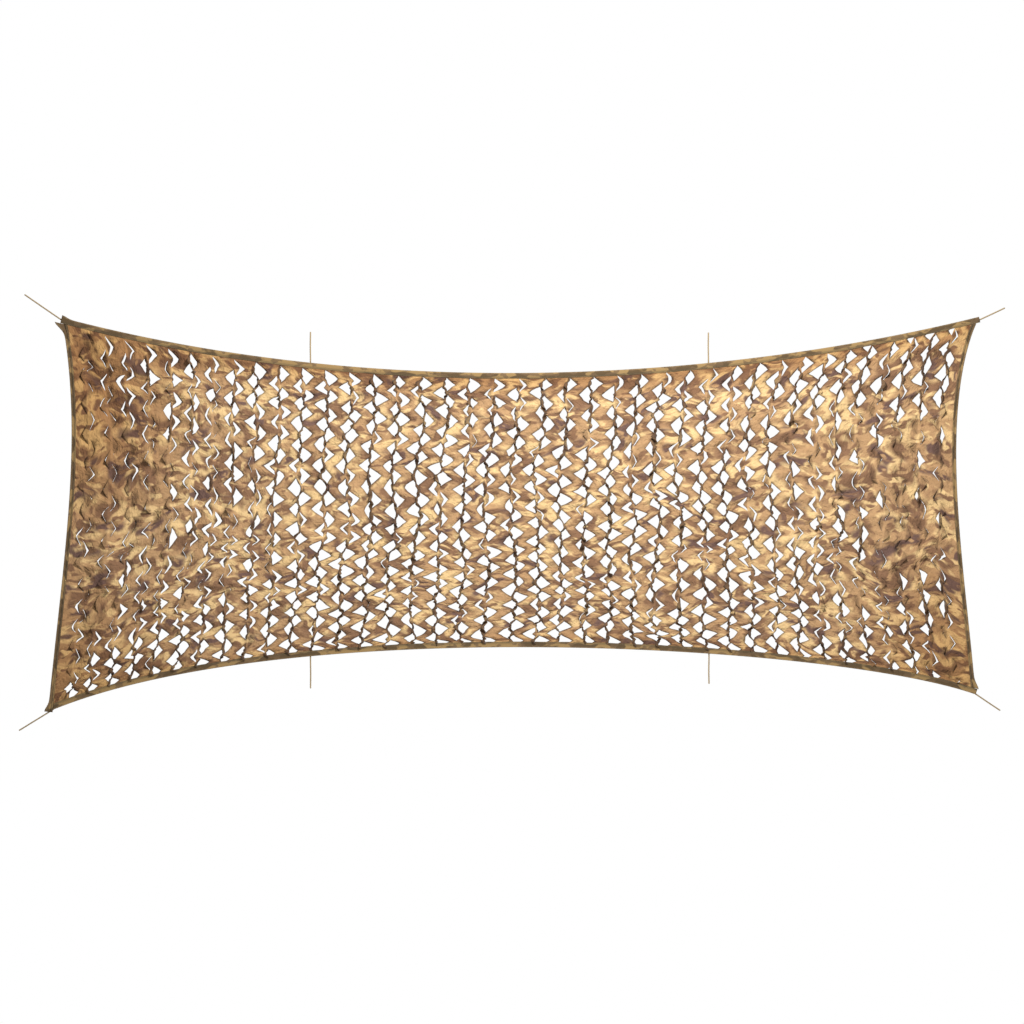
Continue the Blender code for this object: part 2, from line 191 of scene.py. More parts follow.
def stood(place, y):
    """Places on the net, as (x, z), with their depth: (x, y, z)."""
    return np.stack([place[..., 0], np.broadcast_to(y, place.shape[:-1]), place[..., 1]], axis=-1)


def soft_noise(x, y, seed):
    """Uneven hills from -1 to 1: random numbers at the whole numbers, eased between."""
    table = np.random.default_rng(seed).uniform(-1.0, 1.0, (NOISE_SIDE, NOISE_SIDE))
    i, j = np.floor(x).astype(int), np.floor(y).astype(int)
    a, b = ease(x - i), ease(y - j)
    near, far = i % NOISE_SIDE, (i + 1) % NOISE_SIDE
    rows = (blend(table[near, k % NOISE_SIDE], table[far, k % NOISE_SIDE], a) for k in (j, j + 1))
    return blend(*rows, b)


def signed_volume(points, faces):
    """Six times the volume inside closed faces: the box products of their fanned triangles."""
    total = 0.0
    for count in {len(face) for face in faces}:
        corners = points[np.array([face for face in faces if len(face) == count])]
        for j in range(1, count - 1):
            a, b, c = corners[:, 0], corners[:, j], corners[:, j + 1]
            total += (a * np.cross(b, c)).sum()
    return total


def add_piece(name, points, faces, materials, slot, uv=None, flat_from=None):
    """Make a mesh object that rides on the net. Faces from number flat_from on are shaded flat."""
    mesh = bpy.data.meshes.new(name)
    mesh.from_pydata(points.tolist(), [], faces)
    for material in materials:
        mesh.materials.append(material)
    smooth = np.arange(len(faces)) < (len(faces) if flat_from is None else flat_from)
    mesh.polygons.foreach_set("use_smooth", smooth)
    if uv is not None:
        corner = np.empty(len(mesh.loops), int)
        mesh.loops.foreach_get("vertex_index", corner)
        layer = mesh.uv_layers.new(name="cloth")
        layer.data.foreach_set("uv", uv[corner].astype(np.float32).ravel())
    mesh.update()
    piece = placed(name, mesh)
    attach(piece, "root")
    count = sum(len(face) - 2 for face in faces)
    print(name, "has", len(points), "points and", count, "triangles")
    return piece


# %% [markdown]
# ## Sums in materials
# A material is a sum of masks and colours. A small class wraps a socket, so that `1 - mask` adds
# its own Math node, and one method adds any other node.

# %% Value and Finish


class Value:
    """A socket that is used in sums like a number."""

    def __init__(self, finish, socket):
        self.finish, self.socket = finish, socket

    def maths(self, operation, first, second):
        return self.finish.node("ShaderNodeMath", {"operation": operation}, {0: first, 1: second})

    def __add__(self, other):
        return self.maths("ADD", self, other)

    def __mul__(self, other):
        return self.maths("MULTIPLY", self, other)

    def __rsub__(self, other):
        return self.maths("SUBTRACT", other, self)

    __radd__, __rmul__ = __add__, __mul__


class Finish:
    """A material that is built up node by node."""

    def __init__(self, name):
        self.material = bpy.data.materials.new(name)
        self.material.use_nodes = True
        self.tree = self.material.node_tree
        self.shader = self.tree.nodes["Principled BSDF"]

    def node(self, kind, settings, inputs, out=0):
        """Add a node: its settings first, then the value or link of each of its sockets."""
        made = self.tree.nodes.new(kind)
        for name, value in settings.items():
            setattr(made, name, value)
        for name, value in inputs.items():
            self.feed(made.inputs[name], value)
        return Value(self, made.outputs[out])

    def feed(self, socket, value):
        """Link a value to a socket, or set the socket to a number or colour."""
        if isinstance(value, Value):
            self.tree.links.new(value.socket, socket)
        else:
            socket.default_value = value

    def set(self, **inputs):
        """Feed the shader's own sockets, named with _ for each space."""
        for name, value in inputs.items():
            self.feed(self.shader.inputs[name.replace("_", " ")], value)
        return self.material

    def cloth_map(self):
        """The piece's own map: metres along and across its cloth."""
        return self.node("ShaderNodeUVMap", {"uv_map": "cloth"}, {})

    def position(self):
        """The place on the piece itself."""
        return self.node("ShaderNodeTexCoord", {}, {}, out=3)

    def part(self, place, axis):
        """One of the coordinates of a place."""
        return self.node("ShaderNodeSeparateXYZ", {}, {0: place}, out=axis)

    def noise(self, place, scale, detail=2.0, roughness=0.5, distortion=0.0, out=0):
        """Hills and hollows from 0 to 1, about one for each 1 / scale metres."""
        sockets = {"Vector": place, "Scale": scale, "Detail": detail}
        sockets |= {"Roughness": roughness, "Distortion": distortion}
        return self.node("ShaderNodeTexNoise", {}, sockets, out)

    def waves(self, place, direction, scale):
        """Even ridges from 0 to 1, one after another along X or Y."""
        settings = {"wave_type": "BANDS", "bands_direction": direction, "wave_profile": "SIN"}
        return self.node("ShaderNodeTexWave", settings, {"Vector": place, "Scale": scale})

    def vector(self, operation, first, second, out=0):
        """Two vectors taken together. A number counts as three of itself."""
        settings = {"operation": operation}
        return self.node("ShaderNodeVectorMath", settings, {0: first, 1: second}, out)

    def turned(self, place, angle, stretch):
        """The same place, stretched and then turned about Z."""
        sockets = {"Vector": place, "Rotation": (0.0, 0.0, angle), "Scale": stretch}
        return self.node("ShaderNodeMapping", {"vector_type": "POINT"}, sockets)

    def between(self, value, low, high, lowest=0.0, highest=1.0):
        """lowest where value is at most low, highest where it is at least high, smooth between."""
        sockets = {"Value": value, 1: low, 2: high, 3: lowest, 4: highest}
        return self.node("ShaderNodeMapRange", {"interpolation_type": "SMOOTHSTEP"}, sockets)

    def mix(self, mask, under, over):
        """The colour over, laid on the colour under where mask is 1."""
        settings = {"data_type": "RGBA", "clamp_factor": True}
        return self.node("ShaderNodeMix", settings, {0: mask, 6: under, 7: over}, out=2)

    def bump(self, height, strength, distance):
        """A normal that leans as if the surface stood up by height times distance."""
        sockets = {"Height": height, "Strength": strength, "Distance": distance}
        return self.node("ShaderNodeBump", {}, sockets)


def rgb(red, green, blue):
    """A colour with no transparency."""
    return (red, green, blue, 1.0)


# %% [markdown]
# ## The cords
# Each cord is three twisted strands, sewn down behind the edge strip and melted at its free end. A
# round bevel would lose the strands, so it is a mesh tube: an outline of three touching circles,
# carried along the route and turned a little further at each step.

# %% Cord finish
STRAND_COLOURS = (rgb(0.20, 0.140, 0.066), rgb(0.41, 0.30, 0.155))
CORD_DIRT = rgb(0.16, 0.105, 0.045)
FIBRES = (300.0, 2600.0, 1.0)  # to the metre, along a strand and across it


def cord_finish():
    """Khaki strands: fine fibres run along the twist, and there are patches of dirt."""
    finish = Finish("twisted_cord")
    along = finish.cloth_map()
    fibres = finish.noise(finish.turned(along, 0.0, FIBRES), 1.0, detail=3.0)
    patches = finish.noise(along, 38.0, detail=3.0)
    colour = finish.mix(fibres, *STRAND_COLOURS)
    colour = finish.mix(finish.between(patches, 0.52, 0.70) * 0.45, colour, CORD_DIRT)
    return finish.set(
        Base_Color=colour,
        Roughness=0.70 + 0.2 * fibres,
        Specular_IOR_Level=0.25,
        Sheen_Weight=0.2,
        Normal=finish.bump(fibres, 0.5, 0.0004),
    )


CORD_FINISH = cord_finish()

# %% Cords
CORD_DIAMETER = 0.008
CORD_BACK = 0.0068  # the cords' centres lie this far behind the net's middle
CORD_ROUTES = {
    # cord: (x, z) points from where it is sewn down to its free end
    "top_left": ((-2.400, 0.259), (-2.440, 0.285), (-2.535, 0.350), (-2.629, 0.415)),
    "top_right": ((2.398, 0.265), (2.440, 0.284), (2.505, 0.314), (2.568, 0.344)),
    "bottom_left": ((-2.474, -1.782), (-2.520, -1.811), (-2.590, -1.854), (-2.658, -1.896)),
    "bottom_right": ((2.378, -1.679), (2.425, -1.711), (2.484, -1.751), (2.543, -1.790)),
    "top_mid_left": ((-1.113, 0.024), (-1.113, 0.069), (-1.114, 0.141), (-1.113, 0.217)),
    "top_mid_right": ((0.996, 0.027), (0.996, 0.077), (0.995, 0.146), (0.996, 0.214)),
    "bottom_mid_left": ((-1.113, -1.487), (-1.113, -1.533), (-1.112, -1.599), (-1.113, -1.673)),
    "bottom_mid_right": ((0.998, -1.465), (0.999, -1.511), (0.998, -1.579), (0.999, -1.649)),
}
CORD_STEP = 0.0016
CORD_SIDES = 24
STRAND_RADIUS = 0.0022
STRAND_OUT = CORD_DIAMETER / 2 - STRAND_RADIUS  # from the cord's middle to a strand's
CORD_LAY = 0.027  # length in which a strand goes once round
MELTED = 0.007  # the strands run together this close to an end
TIP_ROUND = 0.003
MELTED_RADIUS = 0.47 * CORD_DIAMETER
TIP_FLAT = 0.12  # share of a tip's rounding that is left off, so that its last ring stays open
ROUTE_STEPS = 24  # from one point of a route to the next
BACKWARDS = np.array([0.0, 1.0, 0.0])


def smooth_route(points):
    """Evenly spaced places on the smooth curve through a route's own points.

    Between each two points runs a cubic whose slope at a point is half the way from the point
    before to the point after it.
    """
    points = np.array(points)
    before = np.concatenate(([2 * points[0] - points[1]], points[:-1]))
    after = np.concatenate((points[1:], [2 * points[-1] - points[-2]]))
    slope = (after - before) / 2
    t = np.linspace(0.0, 1.0, ROUTE_STEPS, endpoint=False)[:, None]
    straight = blend(points[:-1, None], points[1:, None], ease(t))
    bend = t * (1 - t) * ((1 - t) * slope[:-1, None] - t * slope[1:, None])
    line = np.concatenate([(straight + bend).reshape(-1, 2), points[-1:]])
    count = round(lengths_along(line)[-1] / CORD_STEP) + 1
    return points_at(line, np.linspace(0.0, 1.0, count))


def tube(path, aside, across, radius, angle):
    """Points of a closed tube: a ring round each point of a path, then the path's two ends.

    A ring's point lies radius times aside cos(angle) + across sin(angle) away from the path.
    """
    ring = aside[:, None] * np.cos(angle)[:, None] + across * np.sin(angle)[:, None]
    rings = path[:, None] + ring * np.asarray(radius)[..., None]
    return np.concatenate([rings.reshape(-1, 3), path[[0, -1]]])


def wall_faces(rings, sides):
    """Faces from each ring of points to the next, all the way round."""
    ring, side = np.meshgrid(np.arange(rings - 1), np.arange(sides), indexing="ij")
    here, there, after = ring * sides, (ring + 1) * sides, (side + 1) % sides
    walls = np.stack([here + side, here + after, there + after, there + side], axis=-1)
    return [tuple(face) for face in walls.reshape(-1, 4).tolist()]


def tube_faces(rings, sides):
    """Faces of a closed tube whose points are its rings, then its first and last pole."""
    first, last, end = rings * sides, rings * sides + 1, (rings - 1) * sides
    caps = [(first, (j + 1) % sides, j) for j in range(sides)]
    caps += [(last, end + j, end + (j + 1) % sides) for j in range(sides)]
    return wall_faces(rings, sides) + caps


def outward(points, faces):
    """The faces, turned over if they point inwards."""
    return [face[::-1] for face in faces] if signed_volume(points, faces) < 0 else faces


def twisted_radius(angle):
    """Distance from the middle to the outline of three touching circles, at an angle.

    With psi the angle from the nearest strand, it is STRAND_OUT cos(psi) plus the root of
    STRAND_RADIUS^2 - (STRAND_OUT sin(psi))^2.
    """
    third = 2 * np.pi / 3
    psi = (angle + third / 2) % third - third / 2
    return STRAND_OUT * np.cos(psi) + np.sqrt(STRAND_RADIUS**2 - (STRAND_OUT * np.sin(psi)) ** 2)


def make_cord(name):
    """One cord along its route, with its real length and thickness."""
    route = smooth_route(CORD_ROUTES[name])
    path = stood(route, CORD_BACK)
    aside = stood(quarter_turn(unit(np.gradient(route, axis=0))), 0.0)
    run = lengths_along(route)
    length = run[-1]
    to_end = np.minimum(run, length - run)[:, None]
    angle = np.linspace(0.0, 2 * np.pi, CORD_SIDES, endpoint=False)
    around = angle - 2 * np.pi * run[:, None] / CORD_LAY
    radius = blend(MELTED_RADIUS, twisted_radius(around), ease(to_end / MELTED))
    radius = radius * np.sqrt(1 - (1 - np.clip(to_end / TIP_ROUND, TIP_FLAT, 1.0)) ** 2)
    points = tube(path, aside, BACKWARDS, radius, angle)
    faces = outward(points, tube_faces(len(route), CORD_SIDES))
    uv = np.stack(np.broadcast_arrays(run[:, None], around * CORD_DIAMETER / 2), axis=-1)
    uv = np.concatenate([uv.reshape(-1, 2), [[0.0, 0.0], [length, 0.0]]])
    piece = add_piece(f"dressed_cord_{name}", points, faces, [CORD_FINISH], "cord", uv)
    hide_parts(f"cord_{name}")
    print("  it is", round(length, 3), "m long")


for name in CORD_ROUTES:
    make_cord(name)

# %% [markdown]
# ## The pattern of slits
# Upright spines stand side by side. From each one slits open to the right and, half a row lower,
# to the left, and the cloth between two spines is a zigzag band. A place in this lattice is (spans
# along, samples down), and two functions put it on the strung net. The rows lie closer towards the
# bottom, as the photograph shows, and the whole pattern wanders a little, as real cloth does.

# %% Lattice
SPANS = 40  # between spines, along the net
ROWS = 16  # slits up one side of a spine
SAMPLES = 8  # points down each row
DOWN = ROWS * SAMPLES
HEM_ROWS = (0.20, 0.06)  # rows of plain cloth above the pattern and below it
RAW_EDGE_DOWN = 0.0022  # the raw edge inside the strips, as a share of the height
RAW_EDGE_ALONG = 0.0008
SPAN_AT_ENDS = 0.83  # spacing of the spines at the two ends, as a share of that in the middle
ROWS_DRAWN_IN = 0.02  # how much closer the rows lie at mid height than at the edges
ROWS_CLOSER = (0.10, 0.22)  # how much closer they lie near the bottom than near the top
SLACK_WANDER = 1.2  # how much further the pattern strays where the net is slack
HEM_WANDER = 0.7  # and near the bottom edge
HEM_FROM, HEM_RISE = 4.6 / 6, 1 / 6  # shares of the height from which, and over which, that grows
CALM_ROWS = 0.3  # rows at the top and bottom edge that don't stray at all
CALM_RISE = 1.2  # spans or rows over which the straying grows
WANDER = (
    # (spans or rows from hill to hill, how far along in spans, how far down in rows)
    (2.6, 0.13, 0.16),
    (0.9, 0.05, 0.07),
)


def net_place(u, v):
    """A share of the length and of the height as (x, z) on the strung net.

    The four edges are blended: across from top to bottom, plus across from left to right, less the
    corners' own blend.
    """
    t = np.linspace(0.0, 1.0, CURVE_STEPS + 1)
    span = SPAN_AT_ENDS + (1 - SPAN_AT_ENDS) * 4 * t * (1 - t)
    pattern = np.concatenate(([0.0], np.cumsum((1 / span[1:] + 1 / span[:-1]) / 2)))
    along = np.interp(u, pattern / pattern[-1], t)
    drawn = ROWS_DRAWN_IN * 4 * along * (1 - along)
    down = v + drawn * np.sin(2 * np.pi * v) / (2 * np.pi)
    top, bottom = (points_at(edge_curve(edge), along) for edge in ("top", "bottom"))
    left, right = (points_at(edge_curve(edge), down) for edge in ("left", "right"))
    a, d = along[..., None], down[..., None]
    corner = {name: np.array(place) for name, place in CORNERS.items()}
    high = blend(corner["top_left"], corner["top_right"], a)
    low = blend(corner["bottom_left"], corner["bottom_right"], a)
    return blend(top, bottom, d) + blend(left, right, a) - blend(high, low, d)


def share_down(down):
    """Samples down as a share of the height. The first and last sample are the raw edges.

    Between them a share s moves down by (a + b s) s (1 - s), with a and b from ROWS_CLOSER.
    """
    rows = down / SAMPLES
    share = (rows + HEM_ROWS[0]) / (ROWS + HEM_ROWS[0] + HEM_ROWS[1])
    share = share + (ROWS_CLOSER[0] + ROWS_CLOSER[1] * share) * share * (1 - share)
    share = np.where(down < 0.5, RAW_EDGE_DOWN, share)
    return np.where(down > DOWN - 0.5, 1 - RAW_EDGE_DOWN, share)


def lattice_place(along, down):
    """(x, z) of a place in the lattice, which wanders a little away from the edges."""
    rows = down / SAMPLES
    from_top_or_bottom = np.minimum(rows, ROWS - rows) - CALM_ROWS
    inside = np.minimum(np.minimum(along, SPANS - along), from_top_or_bottom)
    slack = SLACK_WANDER * (1 - openness(along, down))
    slack = slack + HEM_WANDER * ease((rows / ROWS - HEM_FROM) / HEM_RISE)
    calm = ease(inside / CALM_RISE) * (1 + slack)
    u, v = along / SPANS, share_down(down)
    for seed, (size, how_far_along, how_far_down) in enumerate(WANDER):
        right, lower = (calm * soft_noise(along / size, rows / size, seed + i) for i in (0, 10))
        u = u + how_far_along / SPANS * right
        v = v + how_far_down / ROWS * lower
    return net_place(RAW_EDGE_ALONG + u * (1 - 2 * RAW_EDGE_ALONG), v)


print("the lattice has", SPANS, "spans and", DOWN, "samples down")

# %% [markdown]
# ## How open the net is
# The photograph shows a taut middle with wide gaps, and slack, crumpled ends where the slits
# hardly open. A table gives this along the net, at three heights. The folds come from the solid.
# To them are added spines that stand forward where the net is taut, and ridges and dents where it
# is slack.

# %% Openness and relief
OPENNESS = (
    # (spans from the left, near the top edge, at mid height, near the bottom edge)
    (0.0, 0.00, 0.00, 0.10),
    (1.5, 0.15, 0.00, 0.30),
    (3.2, 0.25, 0.12, 0.45),
    (5.0, 0.34, 0.30, 0.54),
    (8.0, 0.50, 0.42, 0.54),
    (11.0, 0.68, 0.56, 0.58),
    (15.0, 0.52, 0.60, 0.62),
    (19.0, 0.46, 0.60, 0.62),
    (24.0, 0.45, 0.56, 0.60),
    (28.0, 0.56, 0.54, 0.62),
    (32.0, 0.60, 0.44, 0.54),
    (34.5, 0.54, 0.22, 0.42),
    (36.5, 0.52, 0.00, 0.36),
    (38.5, 0.50, 0.00, 0.20),
    (40.0, 0.50, 0.00, 0.00),
)
OPENNESS_HEIGHTS = (0.06, 0.30, 0.62, 0.85)  # mid height's value holds between the inner two
FREE_FROM = 0.036  # the cloth is flat this close to the outside of a strip
FREE_RISE = 0.110  # and takes this much further to reach its full relief
RIPPLE = 0.005
CRUMPLES = (
    # (metres from hill to hill, height)
    (0.290, 0.011),
    (0.110, 0.012),
    (0.060, 0.006),
)
TAUT_SHARE = 0.20  # how much of the crumpling is left where the net is wide open
DEEPEST = 0.035  # nothing of the cloth lies further than this from the plane of the net
RIDGES = 2.2  # ridges are 1 high, and the dents between them this less 1 deep


def openness(along, down):
    """How far the net is pulled open, 0 to 1, at a place in the lattice."""
    table = np.array(OPENNESS)
    top, middle, bottom = (np.interp(along, table[:, 0], table[:, i]) for i in (1, 2, 3))
    v = down / DOWN
    high, upper, lower, low = OPENNESS_HEIGHTS
    near_top = 1 - ease((v - high) / (upper - high))
    near_bottom = ease((v - lower) / (low - lower))
    return middle + near_top * (top - middle) + near_bottom * (bottom - middle)


def fold_depth(points):
    """y of the solid's folds, each height times exp(-(distance across / half width)^2)."""
    total = np.zeros(points.shape[:-1])
    for start, end, half_width, height in FOLDS:
        line = np.subtract(end, start)
        length = np.linalg.norm(line)
        way = line / length
        along, across = ((points - start) @ direction for direction in (way, quarter_turn(way)))
        swell = np.sin(np.pi * np.clip(along / length, 0.0, 1.0))
        total -= height * swell * np.exp(-((across / half_width) ** 2))
    return total


def room(along, down):
    """Metres from a place in the lattice to the nearest edge of the net, near enough."""
    u, v = np.clip(along / SPANS, 0.0, 1.0), share_down(down)
    far = []
    for edges, at, share in ((("top", "bottom"), u, v), (("left", "right"), v, u)):
        first, second = (points_at(edge_curve(edge), at) for edge in edges)
        far.append(np.minimum(share, 1 - share) * np.linalg.norm(first - second, axis=-1))
    return np.minimum(*far)


def relief(along, down, place, forward=0.0):
    """y of the cloth: folds, plus spines forward, plus ridges and dents, all 0 beside the strips.

    forward is how far a point stands out of the cloth. The sum is bent over, as DEEPEST times
    tanh(y / DEEPEST), so that it never goes further than that.
    """
    opened = openness(along, down)
    total = fold_depth(place) - RIPPLE * opened * np.cos(2 * np.pi * along)
    slack = 1 - (1 - TAUT_SHARE) * opened
    for seed, (size, height) in enumerate(CRUMPLES):
        hills = soft_noise(place[..., 0] / size, place[..., 1] / size, seed + 20)
        total = total + height * slack * (1 - RIDGES * np.abs(hills))
    total = total * ease((room(along, down) - FREE_FROM) / FREE_RISE) - forward
    return DEEPEST * np.tanh(total / DEEPEST)


middle_span = np.diff(lattice_place(np.array([19.0, 20.0]), np.array([60.0, 60.0])), axis=0)
print("a span at the middle is", round(float(np.linalg.norm(middle_span)), 3), "m")

# %% [markdown]
# ## Slits and tongues
# A slit is a V that points away from its spine, with the outline width = length (1 - |t|^p) for t
# from -1 to 1 down it. The cloth inside it is a tongue that hangs on the spine. Some tongues stay
# nearly flat, so that the slit shows as a bright V round them. Others are folded over and leave
# the whole gap free: fewer where slits are closed, and more along the bottom edge. Every slit
# draws its own sizes.

# %% Slit sizes
OPEN_BESIDE = 0.3  # spans from its spine to where a slit's openness is looked up
SPINE_HALF = 0.031  # half a spine's width, in spans
SPINE_WEAVE = (0.060, 0.170)  # how far a gap's side of a spine is pulled, in spans
SPINE_FRAY = 0.048  # how far its edge strays from point to point, in spans
SLIT_HALF = 3  # half a slit's height, in samples
SLIT_LENGTH = (0.25, 0.620)  # of a closed slit and of a wide open one, in spans
SLIT_POINT = (1.08, 1.22)  # p of a closed slit and of a wide open one
LENGTH_SPREAD = 0.035  # how far a slit's length strays, in spans
POINT_SPREAD = (0.88, 1.15)  # and its p, as a share
SIZE_SPREAD = (0.85, 1.12)  # and its tongue's length, as a share
TONGUE_LENGTH = 0.033
FOLD_LONGER = 1.32  # a folded tongue's length as a share of a flat one's
HEM_FOLDED = 0.85  # share of the tongues that are folded over near the bottom edge
HEM_FOLDED_FROM, HEM_FOLDED_RISE = 0.76, 0.14  # shares of the height where that begins and grows
FOLDED_WHEN_OPEN = 2.2  # a slit less open than 1 / this has fewer folded tongues
FOLDED = (
    # (spans from the left, share of the tongues that are folded over)
    *((0.0, 0.0), (6.0, 0.40), (10.0, 0.66), (14.0, 0.80), (17.0, 0.84)),
    *((25.0, 0.84), (29.0, 0.72), (33.0, 0.60), (35.0, 0.85), (40.0, 0.95)),
)
FLAT_ROLL = (26.0, 70.0)  # degrees through which a flat tongue bends
FOLD_ROLL = (230.0, 440.0)  # and a folded one
FLAT_BEND = 1.0  # power of the length by which a flat tongue's slope grows
FOLD_BEND = (0.35, 1.10)  # and a folded one's: a small one bends it at its root
ROLL_SKEW = 0.25  # how much more one end of a tongue bends than its middle
FRONT_SHARE = (0.75, 0.65)  # share of the flat and of the folded tongues that turn to the front
TONGUE_SLIP = 0.006  # how far a tongue's tip slips up or down
TONGUE_CUP = 0.008  # how far a tongue's middle stands off its sides
TONGUE_SHRINK = (0.50, 0.05)  # how much narrower a flat and a folded tongue is than its slit
BAND_LIFT = (0.001, 0.008)  # how far a band's edge curls away from the tongue
OPEN_UNEVEN = 0.22  # how far the openness strays over a few slits
OPEN_HILLS = (2.3, 19.0)  # in hills of this many spans and samples
OPEN_SPREAD = 0.17  # and from slit to slit
OPEN_STRAY = (0.35, 2.0)  # a closed slit strays by this share of both, and more as it opens
FLAT_SPAN = 0.125  # size of a span and a row on the cloth as it was cut
RAGGED = 0.0050  # how far a folded tongue's points stray
TONGUE_ROWS = ((0.20, 7), (0.48, 5), (0.76, 3), (1.0, 1))  # (share of its length, points)


def slits(side, seed):
    """The slits on one side of the spines, as arrays of (spine, row): side 1 is the right side."""
    draw = np.random.default_rng(seed)
    first, rows = (SAMPLES // 2, ROWS) if side == 1 else (SAMPLES, ROWS - 1)
    sample = first + SAMPLES * np.arange(rows)
    spine, centre = np.meshgrid(np.arange(1, SPANS), sample, indexing="ij")
    shape = spine.shape

    def spread(low, high):
        return draw.uniform(low, high, shape)

    opened = openness(spine + side * OPEN_BESIDE, centre)
    uneven = OPEN_UNEVEN * soft_noise(spine / OPEN_HILLS[0], centre / OPEN_HILLS[1], 30)
    uneven = uneven + draw.normal(0.0, OPEN_SPREAD, shape)
    opened = opened + uneven * np.minimum(OPEN_STRAY[0] + OPEN_STRAY[1] * opened, 1.0)
    opened = np.clip(opened, 0.0, 1.0)
    share = np.interp(spine, *np.array(FOLDED).T)
    share = blend(share, HEM_FOLDED, ease((centre / DOWN - HEM_FOLDED_FROM) / HEM_FOLDED_RISE))
    folded = draw.random(shape) < share * np.minimum(FOLDED_WHEN_OPEN * opened, 1.0)
    roll = np.where(folded, spread(*FOLD_ROLL), spread(*FLAT_ROLL))
    to_front = draw.random(shape) < np.where(folded, FRONT_SHARE[1], FRONT_SHARE[0])
    front = np.where(to_front, 1.0, -1.0)
    longer = np.where(folded, FOLD_LONGER, 1.0)
    return {
        "spine": spine,
        "centre": centre,
        "folded": folded,
        "front": front,
        "roll": np.radians(roll),
        "length": blend(*SLIT_LENGTH, opened) + spread(-LENGTH_SPREAD, LENGTH_SPREAD),
        "point": blend(*SLIT_POINT, opened) * spread(*POINT_SPREAD),
        "bend": np.where(folded, spread(*FOLD_BEND), FLAT_BEND),
        "skew": spread(-ROLL_SKEW, ROLL_SKEW),
        "slip": spread(-TONGUE_SLIP, TONGUE_SLIP / 2),
        "size": TONGUE_LENGTH * longer * spread(*SIZE_SPREAD),
        "cup": spread(0.0, TONGUE_CUP),
        "lift": -front * spread(*BAND_LIFT),
        "shrink": np.where(folded, TONGUE_SHRINK[1], TONGUE_SHRINK[0]) * opened,
        "closed": 1 - opened,
        "pull": spread(*SPINE_WEAVE) * opened,
    }


SLITS = {side: slits(side, seed=40 + side) for side in (1, -1)}
print("slits:", sum(cut["spine"].size for cut in SLITS.values()))

# %% [markdown]
# ## The cloth between the slits
# Points stand on common lines across the net, eight to a row. A band and a spine share their
# points where no slit parts them, and inside a slit the band has its own, so that all is one
# sheet. The bands pull a spine towards them in turn, so it runs in waves, more so where the net is
# wide open.

# %% Spines and bands
HEM_SLITS = (
    # (spans from the left, share of the half slits cut at the top hem, at the bottom hem)
    *((0.0, 0.0, 0.0), (4.0, 0.0, 0.0), (7.0, 0.0, 0.3)),
    *((34.0, 0.0, 0.3), (36.0, 0.6, 0.2), (40.0, 0.6, 0.0)),
)
HEM_SLIT_LENGTH = (0.35, 0.60)
FRAY_APART = 3.7  # hills from one spine's fray to the next one's
FRAY_HILL = 1.3  # samples from hill to hill


def down_spines(side, value):
    """A value at each sample of each slit, put in its place in an array of (spine, sample)."""
    centre = SLITS[side]["centre"]
    rows, start = centre.shape[1], centre[0, 0] - SAMPLES // 2
    block = np.zeros((SPANS - 1, rows, SAMPLES))
    block[:, :, SAMPLES // 2 - SLIT_HALF : SAMPLES // 2 + SLIT_HALF + 1] = value
    whole = np.zeros((SPANS + 1, DOWN + 1))
    whole[1:SPANS, start : start + rows * SAMPLES] = block.reshape(SPANS - 1, -1)
    return whole


def slit_shapes(side):
    """At every sample of every spine: the slit's width, the band's lift, 1 by a folded tongue, and
    how far the slit is closed."""
    cut = {key: value[..., None] for key, value in SLITS[side].items()}
    t = np.arange(-SLIT_HALF, SLIT_HALF + 1) / SLIT_HALF
    shape = 1 - np.abs(t) ** cut["point"]
    values = cut["length"] * shape, cut["lift"] * shape, cut["folded"], cut["closed"]
    width, *others = (down_spines(side, value) for value in values)
    if side == -1:
        cut_hems(width)
    return width, *others


def cut_hems(width):
    """The halves of slits that run in under the top and the bottom strip."""
    draw = np.random.default_rng(60)
    spine = np.arange(1, SPANS)
    table = np.array(HEM_SLITS)
    for end, column in ((0, 1), (DOWN, 2)):
        cut = draw.random(spine.shape) < np.interp(spine, table[:, 0], table[:, column])
        length = np.where(cut, draw.uniform(*HEM_SLIT_LENGTH, spine.shape), 0.0)
        for step in range(1, SLIT_HALF):
            width[1:SPANS, abs(end - step)] = length * (1 - (step / SLIT_HALF) ** SLIT_POINT[1])


def pulls():
    """How far each spine stands to the right at each half row: to the left beside a gap on its
    right, and to the right beside a gap on its left."""
    pull = np.zeros((SPANS + 1, 2 * ROWS + 2))
    pull[1:SPANS, 1 : 2 * ROWS : 2] = -SLITS[1]["pull"]
    pull[1:SPANS, 2 : 2 * ROWS : 2] = SLITS[-1]["pull"]
    return pull


PULLS = pulls()


def weave(spine, down):
    """How far a spine stands to the right, eased from one half row's pull to the next."""
    half_row = down / (SAMPLES / 2)
    i = np.clip(np.floor(half_row).astype(int), 0, 2 * ROWS)
    share = ease(half_row - i)
    hills = soft_noise(spine * FRAY_APART, down / FRAY_HILL, 31)
    fray = SPINE_FRAY * hills * (spine > 0) * (spine < SPANS)
    return blend(PULLS[spine, i], PULLS[spine, i + 1], share) + fray


spine_number, sample = np.meshgrid(np.arange(SPANS + 1), np.arange(DOWN + 1), indexing="ij")
spine_middle = spine_number + weave(spine_number, sample)
print("points down each spine:", DOWN + 1)

# %% The sheet as points and faces
BAND_HOLLOW = 0.010  # how far the middle of a band lies back
# The edges of open slits, and a spine's side beside a folded tongue, get a band of painted shade
# on top of the real scorch. Closed edges count as further off, so they stay paler.
CLOSED_EDGE = 0.012  # a closed slit's edge counts as this far from the cut, so it stays paler
SPINE_PLAIN = 0.020  # a spine's side away from a folded tongue counts as this far from a cut
FLAT_CUT = 0.80  # how wide a slit is on the flat map, as a share of its width when pulled


